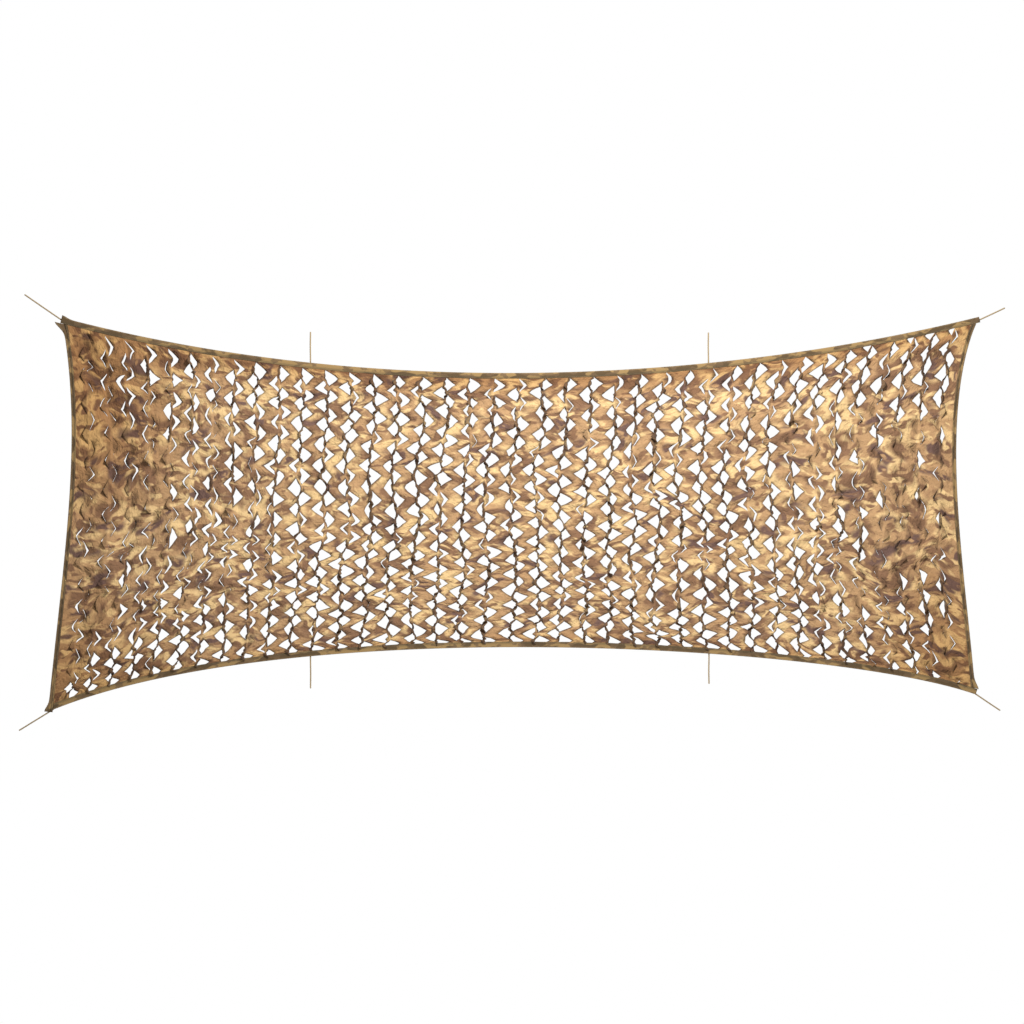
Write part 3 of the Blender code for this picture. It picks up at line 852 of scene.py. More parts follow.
class Sheet:
    """Points and faces of the cloth, gathered piece by piece."""

    def __init__(self):
        self.rows, self.faces, self.count = [], [], 0

    def add(self, points, flat, from_dark_edge):
        """Add rows of (x, y, z, flat x, flat y, distance from a dark edge), and give their
        numbers.
        """
        numbers = self.count + np.arange(points[..., 0].size).reshape(points.shape[:-1])
        from_dark_edge = np.broadcast_to(from_dark_edge, numbers.shape)[..., None]
        self.rows.append(np.concatenate([points, flat, from_dark_edge], axis=-1).reshape(-1, 6))
        self.count += numbers.size
        return numbers

    def join(self, left, right):
        """Faces between two columns of points that run down, seen from the front."""
        quads = np.stack([left[..., 1:], right[..., 1:], right[..., :-1], left[..., :-1]], axis=-1)
        self.faces.append(quads.reshape(-1, 4))

    def column(self, along, flat_along, from_dark_edge, forward=0.0):
        """Add one upright line of points for each spine or band."""
        down = np.broadcast_to(np.arange(DOWN + 1), along.shape)
        place = lattice_place(along, down)
        points = stood(place, relief(along, down, place, forward))
        flat = np.stack([flat_along, down / SAMPLES], axis=-1) * FLAT_SPAN
        return self.add(points, flat, from_dark_edge)


def make_ribbons(sheet):
    """Add the spines and the bands, and give the numbers of each spine's left and right points."""
    spines, sides = [], []
    for side, bands in ((-1, np.s_[1:]), (1, np.s_[:-1])):
        width, lift, folded, closed = slit_shapes(side)
        edge, flat = spine_middle + side * SPINE_HALF, spine_number + side * SPINE_HALF
        edge = np.clip(edge, 0.0, SPANS)
        spine = sheet.column(edge, flat, SPINE_PLAIN * (1 - folded))
        along, flat = (edge + side * width)[bands], (flat + side * width * FLAT_CUT)[bands]
        own = sheet.column(along, flat, CLOSED_EDGE * closed[bands], lift[bands])
        spines.append(spine)
        sides.append((along, flat, np.where(width[bands] > 0, own, spine[bands])))
    (right, right_flat, right_numbers), (left, left_flat, left_numbers) = sides
    calm = ease((room(spine_number[:-1], sample[:-1]) - FREE_FROM) / FREE_RISE)
    flat, half_width = (left_flat + right_flat) / 2, (right - left) / 2 * FLAT_SPAN
    middle = sheet.column((left + right) / 2, flat, half_width, -BAND_HOLLOW * calm)
    sheet.join(*spines)
    sheet.join(left_numbers, middle)
    sheet.join(middle, right_numbers)
    return spines


SHEET = Sheet()
SPINE_LEFT, SPINE_RIGHT = make_ribbons(SHEET)
print("ribbons have", SHEET.count, "points")

# %% [markdown]
# ## The tongues
# A tongue starts on seven points of its spine and narrows to its tip. Its slope at the share s of
# its length is roll s^bend. Small steps along that slope, added up, say where each row lies, so
# that a tongue keeps its real length. With a small power nearly all of the bend comes at the root.

# %% Tongues
TONGUE_STEPS = 40
ROOT_POINTS = 2 * SLIT_HALF + 1
AHEAD = 0.25  # spans from a spine to the place that gives its tongues' direction
SHRUNK_AT = 0.25  # share of its length at which a tongue has shrunk to its full width
INSIDE = 0.012  # the middle of a tongue counts as this far from the cut


def tongue_faces():
    """Faces of one tongue that points right, by its own numbers: its root's points come first."""
    counts = (ROOT_POINTS, *(count for _, count in TONGUE_ROWS))
    starts = np.cumsum((0, *counts)).tolist()
    faces = [(j + 1, ROOT_POINTS + j + 1, ROOT_POINTS + j, j) for j in range(ROOT_POINTS - 1)]
    for a, b, wide in zip(starts[1:], starts[2:-1], counts[1:]):
        faces.append((a + 1, b, a))
        faces += [(a + j + 1, b + j, b + j - 1, a + j) for j in range(1, wide - 2)]
        faces.append((a + wide - 1, b + wide - 3, a + wide - 2))
    return faces


def tongue_points():
    """Each own point's row, its share of the tongue's length, and of its row's half height."""
    row = np.repeat(np.arange(len(TONGUE_ROWS)), [count for _, count in TONGUE_ROWS])
    reach = np.array([share for share, _ in TONGUE_ROWS])[row]
    across = [np.linspace(-1.0, 1.0, count) if count > 1 else [0.0] for _, count in TONGUE_ROWS]
    return row, reach, np.concatenate(across)


def curl(roll, bend, rows):
    """How far out and how far forward a tongue's points lie, as shares of its length."""
    s = (np.arange(TONGUE_STEPS) + 0.5) / TONGUE_STEPS
    slope = roll[..., None] * s ** bend[..., None, None]
    ends = np.array([round(share * TONGUE_STEPS) - 1 for share, _ in TONGUE_ROWS])[rows]
    steps = (np.cumsum(wave(slope), axis=-1) / TONGUE_STEPS for wave in (np.cos, np.sin))
    return [step[:, np.arange(len(rows)), ends] for step in steps]


def make_tongues(sheet, side, spine_edge):
    """Add every tongue on one side of the spines."""
    cut = {key: np.ravel(value)[:, None] for key, value in SLITS[side].items()}
    rows, reach, across = tongue_points()
    t = across * (1 - reach) ** (1 / cut["point"]) * (1 - cut["shrink"] * ease(reach / SHRUNK_AT))
    down = cut["centre"] + SLIT_HALF * t
    root_along = cut["spine"] + weave(cut["spine"], down) + side * SPINE_HALF
    root = lattice_place(root_along, down)
    ahead = lattice_place(root_along + side * AHEAD, down) - root
    span = np.linalg.norm(ahead, axis=-1) / AHEAD

    out, forward = curl(cut["roll"] * (1 + cut["skew"] * t), cut["bend"][:, 0], rows)
    forward = (forward * cut["size"] + cut["cup"] * reach * (1 - t * t)) * cut["front"]
    stray = np.random.default_rng(70 + side).uniform(-RAGGED, RAGGED, (2, *out.shape))
    out = out * cut["size"] + stray[0] * cut["folded"]
    forward = forward + stray[1] * cut["folded"]
    place = root + unit(ahead) * out[..., None]
    points = stood(place, relief(root_along + side * out / span, down, place, forward))
    points[..., 2] += cut["slip"] * reach**2
    flat_along = cut["spine"] + side * (SPINE_HALF + reach * TONGUE_LENGTH / FLAT_SPAN)
    flat = np.stack(np.broadcast_arrays(flat_along, down / SAMPLES), axis=-1) * FLAT_SPAN
    on_edge = (np.abs(across) == 1.0) | (reach == 1.0)
    own = sheet.add(points, flat, np.where(on_edge, CLOSED_EDGE * cut["closed"], INSIDE))

    steps = cut["centre"] + np.arange(-SLIT_HALF, SLIT_HALF + 1)
    numbers = np.concatenate([spine_edge[cut["spine"], steps], own], axis=1)
    for face in tongue_faces():
        sheet.faces.append(numbers[:, list(face[::side])])


make_tongues(SHEET, 1, SPINE_RIGHT)
make_tongues(SHEET, -1, SPINE_LEFT)
print("with tongues the sheet has", SHEET.count, "points")

# %% [markdown]
# ## Printed cloth
# The print is a dry-country camouflage with long patches, about a hand wide. The place is pushed
# about and squeezed across the net, so that noise makes long hills, and a narrow step turns each
# hill into a patch. A hot knife cut the cloth, so its cut edges are darker. A wider dark band
# along the edges of open slits and beside folded tongues is painted shade, and so is the darker
# cloth where it is gathered, by its edges and in its corners. The reverse shows the same print
# weaker and duller, on a dark ground that is partly painted shade for the rolled tongues that show
# it.

# %% Cloth finishes
OCHRE = rgb(0.615, 0.422, 0.200)
TAN = rgb(0.385, 0.228, 0.110)
BROWN = rgb(0.195, 0.103, 0.054)
PURPLE_BROWN = rgb(0.125, 0.069, 0.053)
FOLD_SHADE = rgb(0.68, 0.56, 0.43)  # what light between folds does to the print
# The real scorched edge, and also the painted shade along open slits and beside folded tongues.
SCORCH_AND_SHADE = rgb(0.045, 0.022, 0.010)
NET_GROUND = rgb(0.20, 0.14, 0.08)
# The reverse's dark ground: partly its real duller colour, partly painted shade for the rolled
# tongues that show it.
REVERSE_GROUND_AND_SHADE = rgb(0.100, 0.058, 0.032)
PATCHES = (
    # (colour, patches to the metre, angle, squeeze, where it starts)
    (OCHRE, 4.6, 0.6, 1.6, 0.49),
    (BROWN, 5.0, -0.6, 1.6, 0.50),
    (OCHRE, 11.0, -1.0, 2.0, 0.55),
    (PURPLE_BROWN, 6.0, 0.9, 1.8, 0.57),
    (TAN, 14.0, 0.5, 2.0, 0.55),
    (BROWN, 13.0, 0.3, 2.0, 0.56),
)
PATCH_EDGE = 0.100
PUSH_SCALE, PUSH_FAR = 6.0, (0.12, 0.12, 0.0)  # hills to the metre, and metres
LAYER_APART = (3.7, 1.9)  # metres from one layer's place in the noise to the next one's
# The dark band is far wider than the real scorch: most of it is painted shade.
SCORCH_AND_SHADE_WIDTH = 0.021
SCORCH_AND_SHADE_DEPTH = 0.88
CREASE_SCALE, CREASE_HEIGHT = 17.0, 0.014  # hills to the metre, and metres
CRUMPLE_SCALE, CRUMPLE_SHARE = 48.0, 0.50  # and as a share of the creases' height
THREAD_SCALE, THREAD_SHARE = 260.0, 0.002  # about 1.2 mm from thread to thread
# Painted shade of the gathered cloth along its edges.
PAINTED_EDGE_SHADE = (
    # (0 for the short edges or 1 for the long ones, metres to plain cloth, how deep the shade is)
    (0, 0.55, 0.14),
    (1, 0.20, 0.90),
)
# Painted shade in the slack, folded corners.
PAINTED_CORNER_SHADE = (
    # (where on the cloth, how far the shade reaches, how deep it is)
    ((0.05, 0.25, 0.0), 0.95, 1.00),
    ((5.00, 0.06, 0.0), 0.36, 0.30),
    ((0.10, 1.90, 0.0), 0.85, 0.80),
    ((4.95, 1.85, 0.0), 0.85, 0.85),
)


def camouflage(finish, place):
    """The print's colour at a place on the cloth."""
    hills = finish.noise(place, PUSH_SCALE, detail=1.0, out=1)
    push = finish.vector("MULTIPLY", finish.vector("SUBTRACT", hills, (0.5, 0.5, 0.5)), PUSH_FAR)
    pushed = finish.vector("ADD", place, push)
    colour = TAN
    for number, (tone, scale, angle, squeeze, start) in enumerate(PATCHES):
        moved = finish.vector("ADD", pushed, (*(far * number for far in LAYER_APART), 0.0))
        leaves = finish.turned(moved, angle, (1.0, squeeze, 1.0))
        hills = finish.noise(leaves, scale, detail=1.5, roughness=0.4)
        mask = finish.between(hills, start, start + PATCH_EDGE)
        colour = finish.mix(mask, colour, tone)
    return colour


def painted_gather_shade(finish, place, colour):
    """The colour, with painted shade by the cloth's gathered edges and in its corners."""
    light = 1.0
    for where, reach, deep in PAINTED_CORNER_SHADE:
        far = finish.vector("DISTANCE", place, where, out=1)
        light = light * finish.between(far, 0.1, reach, 1 - deep, 1.0)
    for axis, width, deep in PAINTED_EDGE_SHADE:
        x = finish.part(place, axis)
        to_edge = x.maths("MINIMUM", x, (SPANS, ROWS)[axis] * FLAT_SPAN - x)
        light = light * finish.between(to_edge, 0.0, width, 1 - deep, 1.0)
    tint = finish.mix(light, FOLD_SHADE, rgb(1.0, 1.0, 1.0))
    return finish.vector("MULTIPLY", colour, tint)


def cloth_finish(name, strength, ground):
    """Printed cloth. strength is how strongly the print shows on the dull ground colour."""
    finish = Finish(name)
    place = finish.cloth_map()
    edge = finish.node("ShaderNodeAttribute", {"attribute_name": "from_dark_edge"}, {}, out=2)
    stains = finish.noise(place, 23.0, detail=4.0, roughness=0.6)
    colour = camouflage(finish, place)
    colour = finish.vector("MULTIPLY", colour, finish.between(stains, 0.2, 0.8, 0.86, 1.10))
    # Painted shade where the cloth is gathered.
    colour = finish.mix(1.0 - strength, painted_gather_shade(finish, place, colour), ground)
    # Darker towards a dark edge: real scorch at the cut, and painted shade over the rest of the
    # band.
    scorched_and_shaded = SCORCH_AND_SHADE_DEPTH * (1 - finish.between(edge, 0.0, SCORCH_AND_SHADE_WIDTH))
    creases = finish.noise(place, CREASE_SCALE, detail=2.0, distortion=0.3)
    crumples = finish.noise(place, CRUMPLE_SCALE, detail=1.0, distortion=0.8)
    threads = finish.waves(place, "X", THREAD_SCALE) * finish.waves(place, "Y", THREAD_SCALE)
    height = creases + CRUMPLE_SHARE * crumples + THREAD_SHARE * threads
    return finish.set(
        Base_Color=finish.mix(scorched_and_shaded, colour, SCORCH_AND_SHADE),
        Roughness=finish.between(stains, 0.3, 0.7, 0.72, 0.88),
        Specular_IOR_Level=0.22,
        Sheen_Weight=0.12,
        Normal=finish.bump(height, 1.0, CREASE_HEIGHT),
    )


def scorched_finish():
    """The cut edge itself, sealed by the hot knife."""
    finish = Finish("cut_edge")
    beads = finish.noise(finish.cloth_map(), 900.0, detail=2.0)
    colour = finish.mix(beads, SCORCH_AND_SHADE, rgb(0.15, 0.085, 0.04))
    return finish.set(Base_Color=colour, Roughness=0.55, Specular_IOR_Level=0.35)


CLOTH_FRONT = cloth_finish("printed_cloth", 1.0, NET_GROUND)
# The reverse: the same print, weaker, on a ground darkened with painted shade.
CLOTH_BACK_SHADED = cloth_finish("printed_cloth_reverse_shaded", 0.35, REVERSE_GROUND_AND_SHADE)
CUT_EDGE = scorched_finish()

# %% The net as one closed piece of cloth
CLOTH_THICKNESS = 0.0008


def triangles_of(faces):
    """Faces of three or four corners as triangles."""
    first = faces[:, [0, 1, 2]]
    return first if faces.shape[1] == 3 else np.concatenate([first, faces[:, [0, 2, 3]]])


def point_normals(points, groups):
    """Each point's normal: the sum of its triangles' own, which counts large ones for more."""
    normals = np.zeros_like(points)
    for faces in groups:
        t = triangles_of(faces)
        a, b, c = points[t].transpose(1, 0, 2)
        face_normal = np.cross(b - a, c - a)
        for corner in range(3):
            np.add.at(normals, t[:, corner], face_normal)
    return unit(normals)


def open_edges(groups, count):
    """Edges with a face on one side only, as pairs of points in that face's own direction."""
    pairs = np.concatenate([
        np.stack([faces[:, i], faces[:, (i + 1) % faces.shape[1]]], axis=1)
        for faces in groups
        for i in range(faces.shape[1])
    ])
    there, back = pairs[:, 0] * count + pairs[:, 1], pairs[:, 1] * count + pairs[:, 0]
    return pairs[~np.isin(there, back)]


def make_net(sheet):
    """Front, back and rim: two copies of the sheet, half its thickness out along its normals.

    A back face starts at the same corner as its front face, so that a bent one is split into the
    same two triangles and the copies never cross.
    """
    used = np.unique(np.concatenate([faces.ravel() for faces in sheet.faces]))
    renumber = np.zeros(sheet.count, int)
    renumber[used] = np.arange(len(used))
    points, flat, from_dark_edge = np.split(np.concatenate(sheet.rows)[used], (3, 5), axis=1)
    groups = [
        renumber[np.concatenate([faces for faces in sheet.faces if faces.shape[1] == corners])]
        for corners in (4, 3)
    ]
    count = len(points)
    out = point_normals(points, groups) * CLOTH_THICKNESS / 2
    rim = open_edges(groups, count)
    walls = np.stack([rim[:, 1], rim[:, 0], rim[:, 0] + count, rim[:, 1] + count], axis=1)
    front = [face for faces in groups for face in faces.tolist()]
    back = [[corner + count for corner in (face[0], *face[:0:-1])] for face in front]
    faces = [*front, *back, *walls.tolist()]
    net = add_piece(
        "dressed_net",
        np.concatenate([points + out, points - out]),
        faces,
        [CLOTH_FRONT, CLOTH_BACK_SHADED, CUT_EDGE],
        "net_cloth",
        np.concatenate([flat, flat]),
        flat_from=2 * len(front),
    )
    side = np.repeat([0, 1, 2], [len(front), len(front), len(walls)])
    net.data.polygons.foreach_set("material_index", side)
    edge = net.data.attributes.new("from_dark_edge", "FLOAT", "POINT")
    edge.data.foreach_set("value", np.tile(from_dark_edge.ravel(), 2).astype(np.float32))
    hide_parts("net")
    return net


NET = make_net(SHEET)

# %% [markdown]
# ## The edge strips
# A strip of stouter cloth is folded over each raw edge and sewn down near its inner edge. Its
# print is dark olive and khaki in turn. It is paler along the fold, from wear and a painted
# highlight, and darker towards its inner edge. It is a section carried along the edge: two leaves
# and a round fold. Its loose ends turn outwards at the corners, as the photograph shows.

# %% Strip finish
KHAKI = rgb(0.255, 0.162, 0.064)
DARK_OLIVE = rgb(0.085, 0.053, 0.023)
GREY_BROWN = rgb(0.122, 0.075, 0.037)
# The paler fold: partly wear, partly a painted highlight on the rounded fold.
WORN_AND_HIGHLIGHT = rgb(0.320, 0.220, 0.108)
# The colour towards the strip's inner edge.
STRIP_INNER_DARK = rgb(0.06, 0.045, 0.025)


def strip_finish():
    """Lengths of khaki and dark olive along the strip, paler at the fold, ribbed across."""
    finish = Finish("edge_strip_cloth")
    place = finish.cloth_map()
    from_fold = finish.part(place, 1)
    lengths = finish.noise(finish.turned(place, 0.12, (1.0, 2.5, 1.0)), 7.5, detail=1.5)
    patches = finish.noise(finish.turned(place, -0.2, (1.0, 1.8, 1.0)), 17.0, detail=2.5)
    wear = finish.noise(place, 60.0, detail=3.0)
    # Paler along the fold: partly wear, partly a painted highlight.
    worn_and_lit = (1 - finish.between(from_fold, 0.002, 0.008)) * finish.between(wear, 0.30, 0.62)
    colour = finish.mix(finish.between(lengths, 0.49, 0.53), DARK_OLIVE, KHAKI)
    colour = finish.mix(finish.between(patches, 0.52, 0.56) * 0.8, colour, GREY_BROWN)
    colour = finish.mix(0.45 * worn_and_lit, colour, WORN_AND_HIGHLIGHT)
    # Darker towards the strip's inner edge.
    colour = finish.mix(finish.between(from_fold, 0.014, 0.024) * 0.45, colour, STRIP_INNER_DARK)
    ribs = finish.waves(place, "X", 190.0)
    return finish.set(
        Base_Color=colour,
        Roughness=finish.between(wear, 0.3, 0.7, 0.74, 0.88),
        Specular_IOR_Level=0.22,
        Sheen_Weight=0.1,
        Normal=finish.bump(ribs * 0.25 + wear, 0.5, 0.0012),
    )


STRIP_FINISH = strip_finish()

# %% Strips
STRIP_WIDTHS = {"top": 0.030, "right": 0.022, "bottom": 0.030, "left": 0.024}
STRIP_HALF = 0.0025  # half the strip's thickness, net included
STRIP_CLEAR = 0.0006  # from the middle of the net to the leaf beside it
STRIP_GAP = 0.001  # between a strip's cut end and the strip that runs past it
STRIP_STEP = 0.013
END_CROWDING = 0.60  # how much closer the stations lie at a strip's ends, 0 to 1
FLARE_REACH = 0.035  # length over which a loose end turns outwards
STRIP_ENDS = {
    # strip: (strip it stops under at its start, flare there, the same two at its end)
    "top": (None, 0.013, None, 0.0),
    "right": ("top", 0.002, "bottom", 0.020),
    "bottom": ("left", 0.0, None, 0.0),
    "left": ("top", 0.044, None, 0.020),
}
SEAM_IN = 0.004  # from the strip's inner edge to its row of stitches
SEAM_DENT = 0.0004  # how far the stitches pull the leaves in
STRIP_WAVE = 0.0009  # how far the strip's inner edge wanders
BACK_APART = 0.10  # metres on the map between the front and the back leaf
STRIPS_APART = 7.3  # and between one strip and the next
SEAM_HALF = 0.0016  # half the width of the dent along the seam
LEAF_ROUND = 0.0005  # how far a leaf's end is rounded
LEAF_POINTS = (0.0, 0.0008, 0.0025, SEAM_IN, 0.0055, 0.008)  # from the inner edge
FOLD_POINTS = 9
WAVE_HILL = 0.045  # metres from hill to hill of the inner edge's wave
WAVE_CALM = 0.08  # and from a strip's end to its full height


def moved_in(edge, distance):
    """An edge moved into the net, run on straight past both its ends so that two of them cross."""
    line = edge_curve(edge)
    along = unit(np.gradient(line, axis=0))
    line = line + quarter_turn(along) * INWARD_TURN[edge] * distance
    return np.concatenate([line[:1] - along[:1] * RUN_ON, line, line[-1:] + along[-1:] * RUN_ON])


def crossing(line, other):
    """Where a line crosses another one, as a number of steps along it."""

    def cross(a, b):
        return a[..., 0] * b[..., 1] - a[..., 1] * b[..., 0]

    a, b = line[:-1, None, :], np.diff(line, axis=0)[:, None, :]
    c, d = other[None, :-1, :], np.diff(other, axis=0)[None, :, :]
    turn = cross(b, d)
    turn = np.where(np.abs(turn) < 1e-15, np.inf, turn)
    on_line, on_other = cross(c - a, d) / turn, cross(c - a, b) / turn
    hit = (on_line >= 0) & (on_line <= 1) & (on_other >= 0) & (on_other <= 1) & np.isfinite(turn)
    i, j = np.argwhere(hit)[0]
    return i + on_line[i, j]


def strip_side(edge, distance, count):
    """One long side of a strip, cut where it runs in under another strip's inner edge."""
    line = moved_in(edge, distance)
    under_start, _, under_end, _ = STRIP_ENDS[edge]
    start, end = (
        crossing(line, moved_in(under, STRIP_WIDTHS[under] + STRIP_GAP)) if under else whole
        for under, whole in ((under_start, 1.0), (under_end, len(line) - 2.0))
    )
    steps = np.arange(len(line))
    between = steps[(steps > start + 1e-6) & (steps < end - 1e-6)]
    first, last = ([np.interp(step, steps, line[:, i]) for i in (0, 1)] for step in (start, end))
    share = np.linspace(0.0, 1.0, count)
    share = share - END_CROWDING * np.sin(2 * np.pi * share) / (2 * np.pi)
    return points_at(np.array([first, *line[between], last]), share)


def strip_section(width):
    """The outside and the inside of a folded strip, as rows of (distance from the fold, y).

    Front leaf, half circle round the raw edge, back leaf. Both rows have as many points, and the
    outside is rounded where a leaf ends and dented along the seam.
    """
    leaf = np.array([*LEAF_POINTS, 0.30 * width, 0.5 * width, 0.75 * width])
    angle = np.linspace(-np.pi / 2, np.pi / 2, FOLD_POINTS)
    sunk = SEAM_DENT * np.exp(-(((leaf - SEAM_IN) / SEAM_HALF) ** 2)) + LEAF_ROUND * (leaf == 0)
    rows = []
    for half, dented in ((STRIP_HALF, 1.0), (STRIP_CLEAR, 0.0)):
        front = np.stack([width - leaf, dented * sunk - half], axis=1)
        bend = np.stack([STRIP_HALF - half * np.cos(angle), half * np.sin(angle)], axis=1)
        rows.append(np.concatenate([front, bend, front[::-1] * (1, -1)]))
    return rows


def make_strip(edge, seed):
    """A strip folded over one edge, and the line of its seam."""
    width = STRIP_WIDTHS[edge]
    _, flare_start, _, flare_end = STRIP_ENDS[edge]
    count = round(lengths_along(edge_curve(edge))[-1] / STRIP_STEP) + 1
    outer, inner = strip_side(edge, 0.0, count), strip_side(edge, width, count)
    out = unit(outer - inner)
    run = lengths_along(outer)
    to_end = run[-1] - run
    flare = flare_start * np.exp(-((run / FLARE_REACH) ** 2))
    flare = flare + flare_end * np.exp(-((to_end / FLARE_REACH) ** 2))
    wave = soft_noise(run / WAVE_HILL, np.zeros(count), seed)
    wave = STRIP_WAVE * wave * ease(np.minimum(run, to_end) / WAVE_CALM)
    inner = inner + out * wave[:, None]
    moved = out * flare[:, None]

    def across(share):
        """Places at a share of the width from the fold. The loose ends flare most at the fold."""
        return blend(outer[:, None], inner[:, None], share) + moved[:, None] * (1 - share) ** 2

    outside, inside = strip_section(width)
    loop = np.concatenate([outside, inside[::-1]])
    corners, last = len(loop), (count - 1) * len(loop)
    points = stood(across(loop[:, :1] / width), loop[:, 1]).reshape(-1, 3)
    caps = []
    for j in range(len(outside) - 1):
        cap = (j, corners - 1 - j, corners - 2 - j, j + 1)
        caps += [cap, tuple(last + corner for corner in cap[::-1])]
    faces = outward(points, wall_faces(count, corners) + caps)
    around = loop[:, 0] + BACK_APART * (loop[:, 1] > 0)
    uv = np.stack(np.broadcast_arrays(run[:, None] + STRIPS_APART * seed, around), axis=-1)
    name = f"dressed_strip_{edge}"
    piece = add_piece(name, points, faces, [STRIP_FINISH], "edge_strip", uv.reshape(-1, 2))
    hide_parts(f"strip_{edge}")
    return piece, across(1 - SEAM_IN / width)[:, 0]


STRIPS, SEAMS = zip(*(make_strip(edge, seed) for seed, edge in enumerate(EDGES)))

# %% [markdown]
# ## Stitches
# One row of lockstitch along each strip shows on both sides, and loops of thread hold each cord
# behind its strip. A stitch is a short spindle of few faces, and all of them are one joined mesh.

# %% Thread
STITCH_PITCH = 0.0050
STITCH_LENGTH = 0.0041
THREAD_RADIUS = 0.00045
TACKS = (0.006, 0.013, 0.020, 0.027)  # metres along a cord from its sewn end
STITCH = (
    # (share of its length, radius, how far out), in thread radii: two square rings and two ends
    *((0.25, 1.0, 0.2), (0.75, 1.0, 0.2), (0.0, 0.0, -1.2), (1.0, 0.0, -1.2)),
)
THREAD_SIDES = 6
LOOP_POINTS = 11
LOOP_SUNK = 0.001  # how far a loop's feet are sunk in the strip


def thread_finish():
    """Khaki thread, darker where it has taken up dirt."""
    finish = Finish("thread")
    clouds = finish.noise(finish.position(), 14.0)
    colour = finish.mix(clouds, rgb(0.33, 0.26, 0.13), rgb(0.13, 0.10, 0.05))
    return finish.set(Base_Color=colour, Roughness=0.6, Specular_IOR_Level=0.3)


THREAD_FINISH = thread_finish()


def spindles(starts, ends, y, outward_y):
    """Stitches from (x, z) to (x, z): two square rings each, and a point at either end."""
    aside = quarter_turn(unit(ends - starts))
    points = []
    for share, radius, out in STITCH:
        for angle in np.arange(4 if radius else 1) * np.pi / 2:
            place = blend(starts, ends, share) + aside * radius * THREAD_RADIUS * np.cos(angle)
            lift = (out + radius * np.sin(angle)) * THREAD_RADIUS
            points.append(stood(place, y + outward_y * lift))
    points = np.stack(points, axis=1)
    return join([(stitch, outward(points[0], tube_faces(2, 4))) for stitch in points])


def join(parts):
    """Several (points, faces) as one."""
    starts = np.cumsum([0, *(len(points) for points, _ in parts)]).tolist()
    faces = [
        tuple(corner + start for corner in face)
        for start, (_, faces) in zip(starts, parts)
        for face in faces
    ]
    return np.concatenate([points for points, _ in parts]), faces


def make_stitches():
    """A row of stitches along each seam, on the front and on the back."""
    parts = []
    for line in SEAMS:
        length = lengths_along(line)[-1]
        begin = np.arange(STITCH_PITCH, length - 2 * STITCH_PITCH, STITCH_PITCH)
        starts, ends = (points_at(line, (begin + on) / length) for on in (0.0, STITCH_LENGTH))
        surface = STRIP_HALF - SEAM_DENT
        parts += [spindles(starts, ends, side * surface, side) for side in (-1.0, 1.0)]
    return add_piece("strip_stitches", *join(parts), [THREAD_FINISH], "edge_strip")


def make_tacks():
    """Loops of thread over the cords: up one side from the strip, round the back and down."""
    radius, foot = CORD_DIAMETER / 2 + THREAD_RADIUS, STRIP_HALF - LOOP_SUNK
    angle = np.linspace(0.0, np.pi, LOOP_POINTS)
    aside = [radius, *(radius * np.cos(angle)), -radius]
    back = [foot, *(CORD_BACK + radius * np.sin(angle)), foot]
    loop = np.stack([aside, back], axis=1)
    normal = quarter_turn(unit(np.gradient(loop, axis=0)))
    turn = np.linspace(0.0, 2 * np.pi, THREAD_SIDES, endpoint=False)
    faces = tube_faces(len(loop), THREAD_SIDES)
    parts = []
    for points in CORD_ROUTES.values():
        route = smooth_route(points)
        along = unit(route[3] - route[0])
        across = stood(quarter_turn(along), 0.0)
        along, start = stood(along, 0.0), stood(route[0], 0.0)
        for tack in TACKS:
            path = start + along * tack + loop[:, :1] * across + loop[:, 1:] * BACKWARDS
            first = -(normal[:, :1] * across + normal[:, 1:] * BACKWARDS)
            tack_points = tube(path, first, along, THREAD_RADIUS, turn)
            parts.append((tack_points, outward(tack_points, faces)))
    return add_piece("cord_tacks", *join(parts), [THREAD_FINISH], "cord")


STITCHES = make_stitches()
make_tacks()

# %% [markdown]
# ## The net as it was cut
# The panel was cut 5 m long and 2 m wide, before it was slit, hemmed and strung.

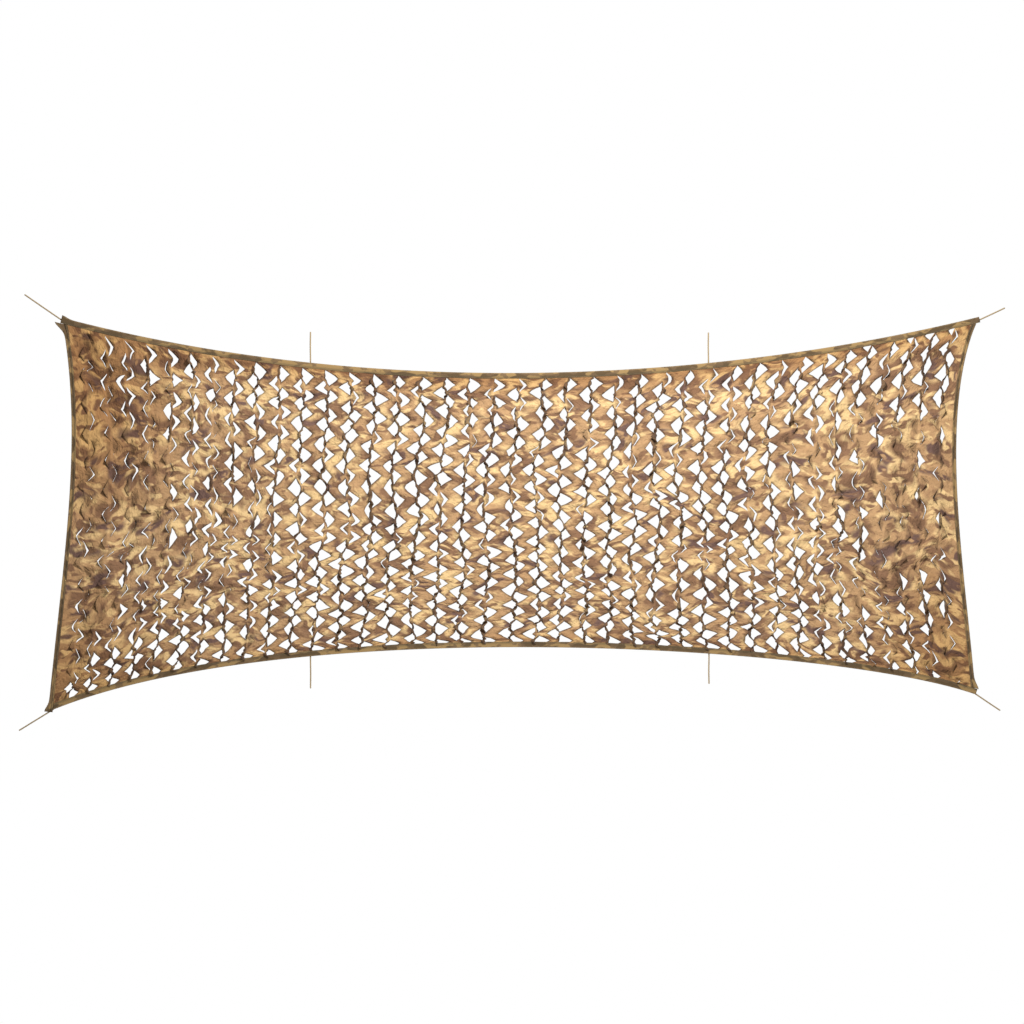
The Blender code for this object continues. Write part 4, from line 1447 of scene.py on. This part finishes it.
# %% [markdown]
# ## Floor, light and sky
# A pale floor lies just below the lowest cord, and the camera sees it edge on. A broad lamp gives
# the cloth its light and shade. The sky is white to the camera, as in the photograph, and weaker
# as a light, so that the shade keeps some depth.

# %% Floor and light
FLOOR_HALF = 8.0
FLOOR_CLEAR = 0.012
FLOOR_COLOURS = (rgb(0.80, 0.80, 0.79), rgb(0.76, 0.76, 0.75))
KEY_POWER = 400.0
KEY_SIDE = 1.0
KEY_PLACE = (0.7, -3.7, 2.6)
KEY_AIM = (-0.1, 0.0, -0.75)
SKY_LIGHT = 0.34


def floor_finish():
    """Pale matt floor with faint clouds in its colour."""
    finish = Finish("studio_floor")
    colour = finish.mix(finish.noise(finish.position(), 1.3), *FLOOR_COLOURS)
    return finish.set(Base_Color=colour, Roughness=0.9)


floor_height = float(CAD_BOX[0][2]) - FLOOR_CLEAR
floor_mesh = bpy.data.meshes.new("floor")
sides = ((-1, -1), (1, -1), (1, 1), (-1, 1))
floor_points = [(x * FLOOR_HALF, y * FLOOR_HALF, floor_height) for x, y in sides]
floor_mesh.from_pydata(floor_points, [], [(0, 1, 2, 3)])
floor_mesh.materials.append(floor_finish())
floor = placed("floor", floor_mesh)

key = placed("key", bpy.data.lights.new("key", "AREA"))
key.data.energy = KEY_POWER
key.data.size = KEY_SIDE
key.location = KEY_PLACE
aim = Vector(KEY_AIM) - Vector(KEY_PLACE)
key.rotation_euler = aim.to_track_quat("-Z", "Y").to_euler()

world = bpy.data.worlds.new("studio")
scene.world = world
world.use_nodes = True
sky = world.node_tree.nodes["Background"]
sky.inputs["Color"].default_value = rgb(1.0, 1.0, 1.0)
seen = world.node_tree.nodes.new("ShaderNodeLightPath")
strength = world.node_tree.nodes.new("ShaderNodeMapRange")
strength.inputs["To Min"].default_value = SKY_LIGHT
strength.inputs["To Max"].default_value = 1.0
world.node_tree.links.new(seen.outputs["Is Camera Ray"], strength.inputs["Value"])
world.node_tree.links.new(strength.outputs["Result"], sky.inputs["Strength"])
scene.view_settings.view_transform = "Standard"
print("the floor lies at", round(floor_height, 3), "m")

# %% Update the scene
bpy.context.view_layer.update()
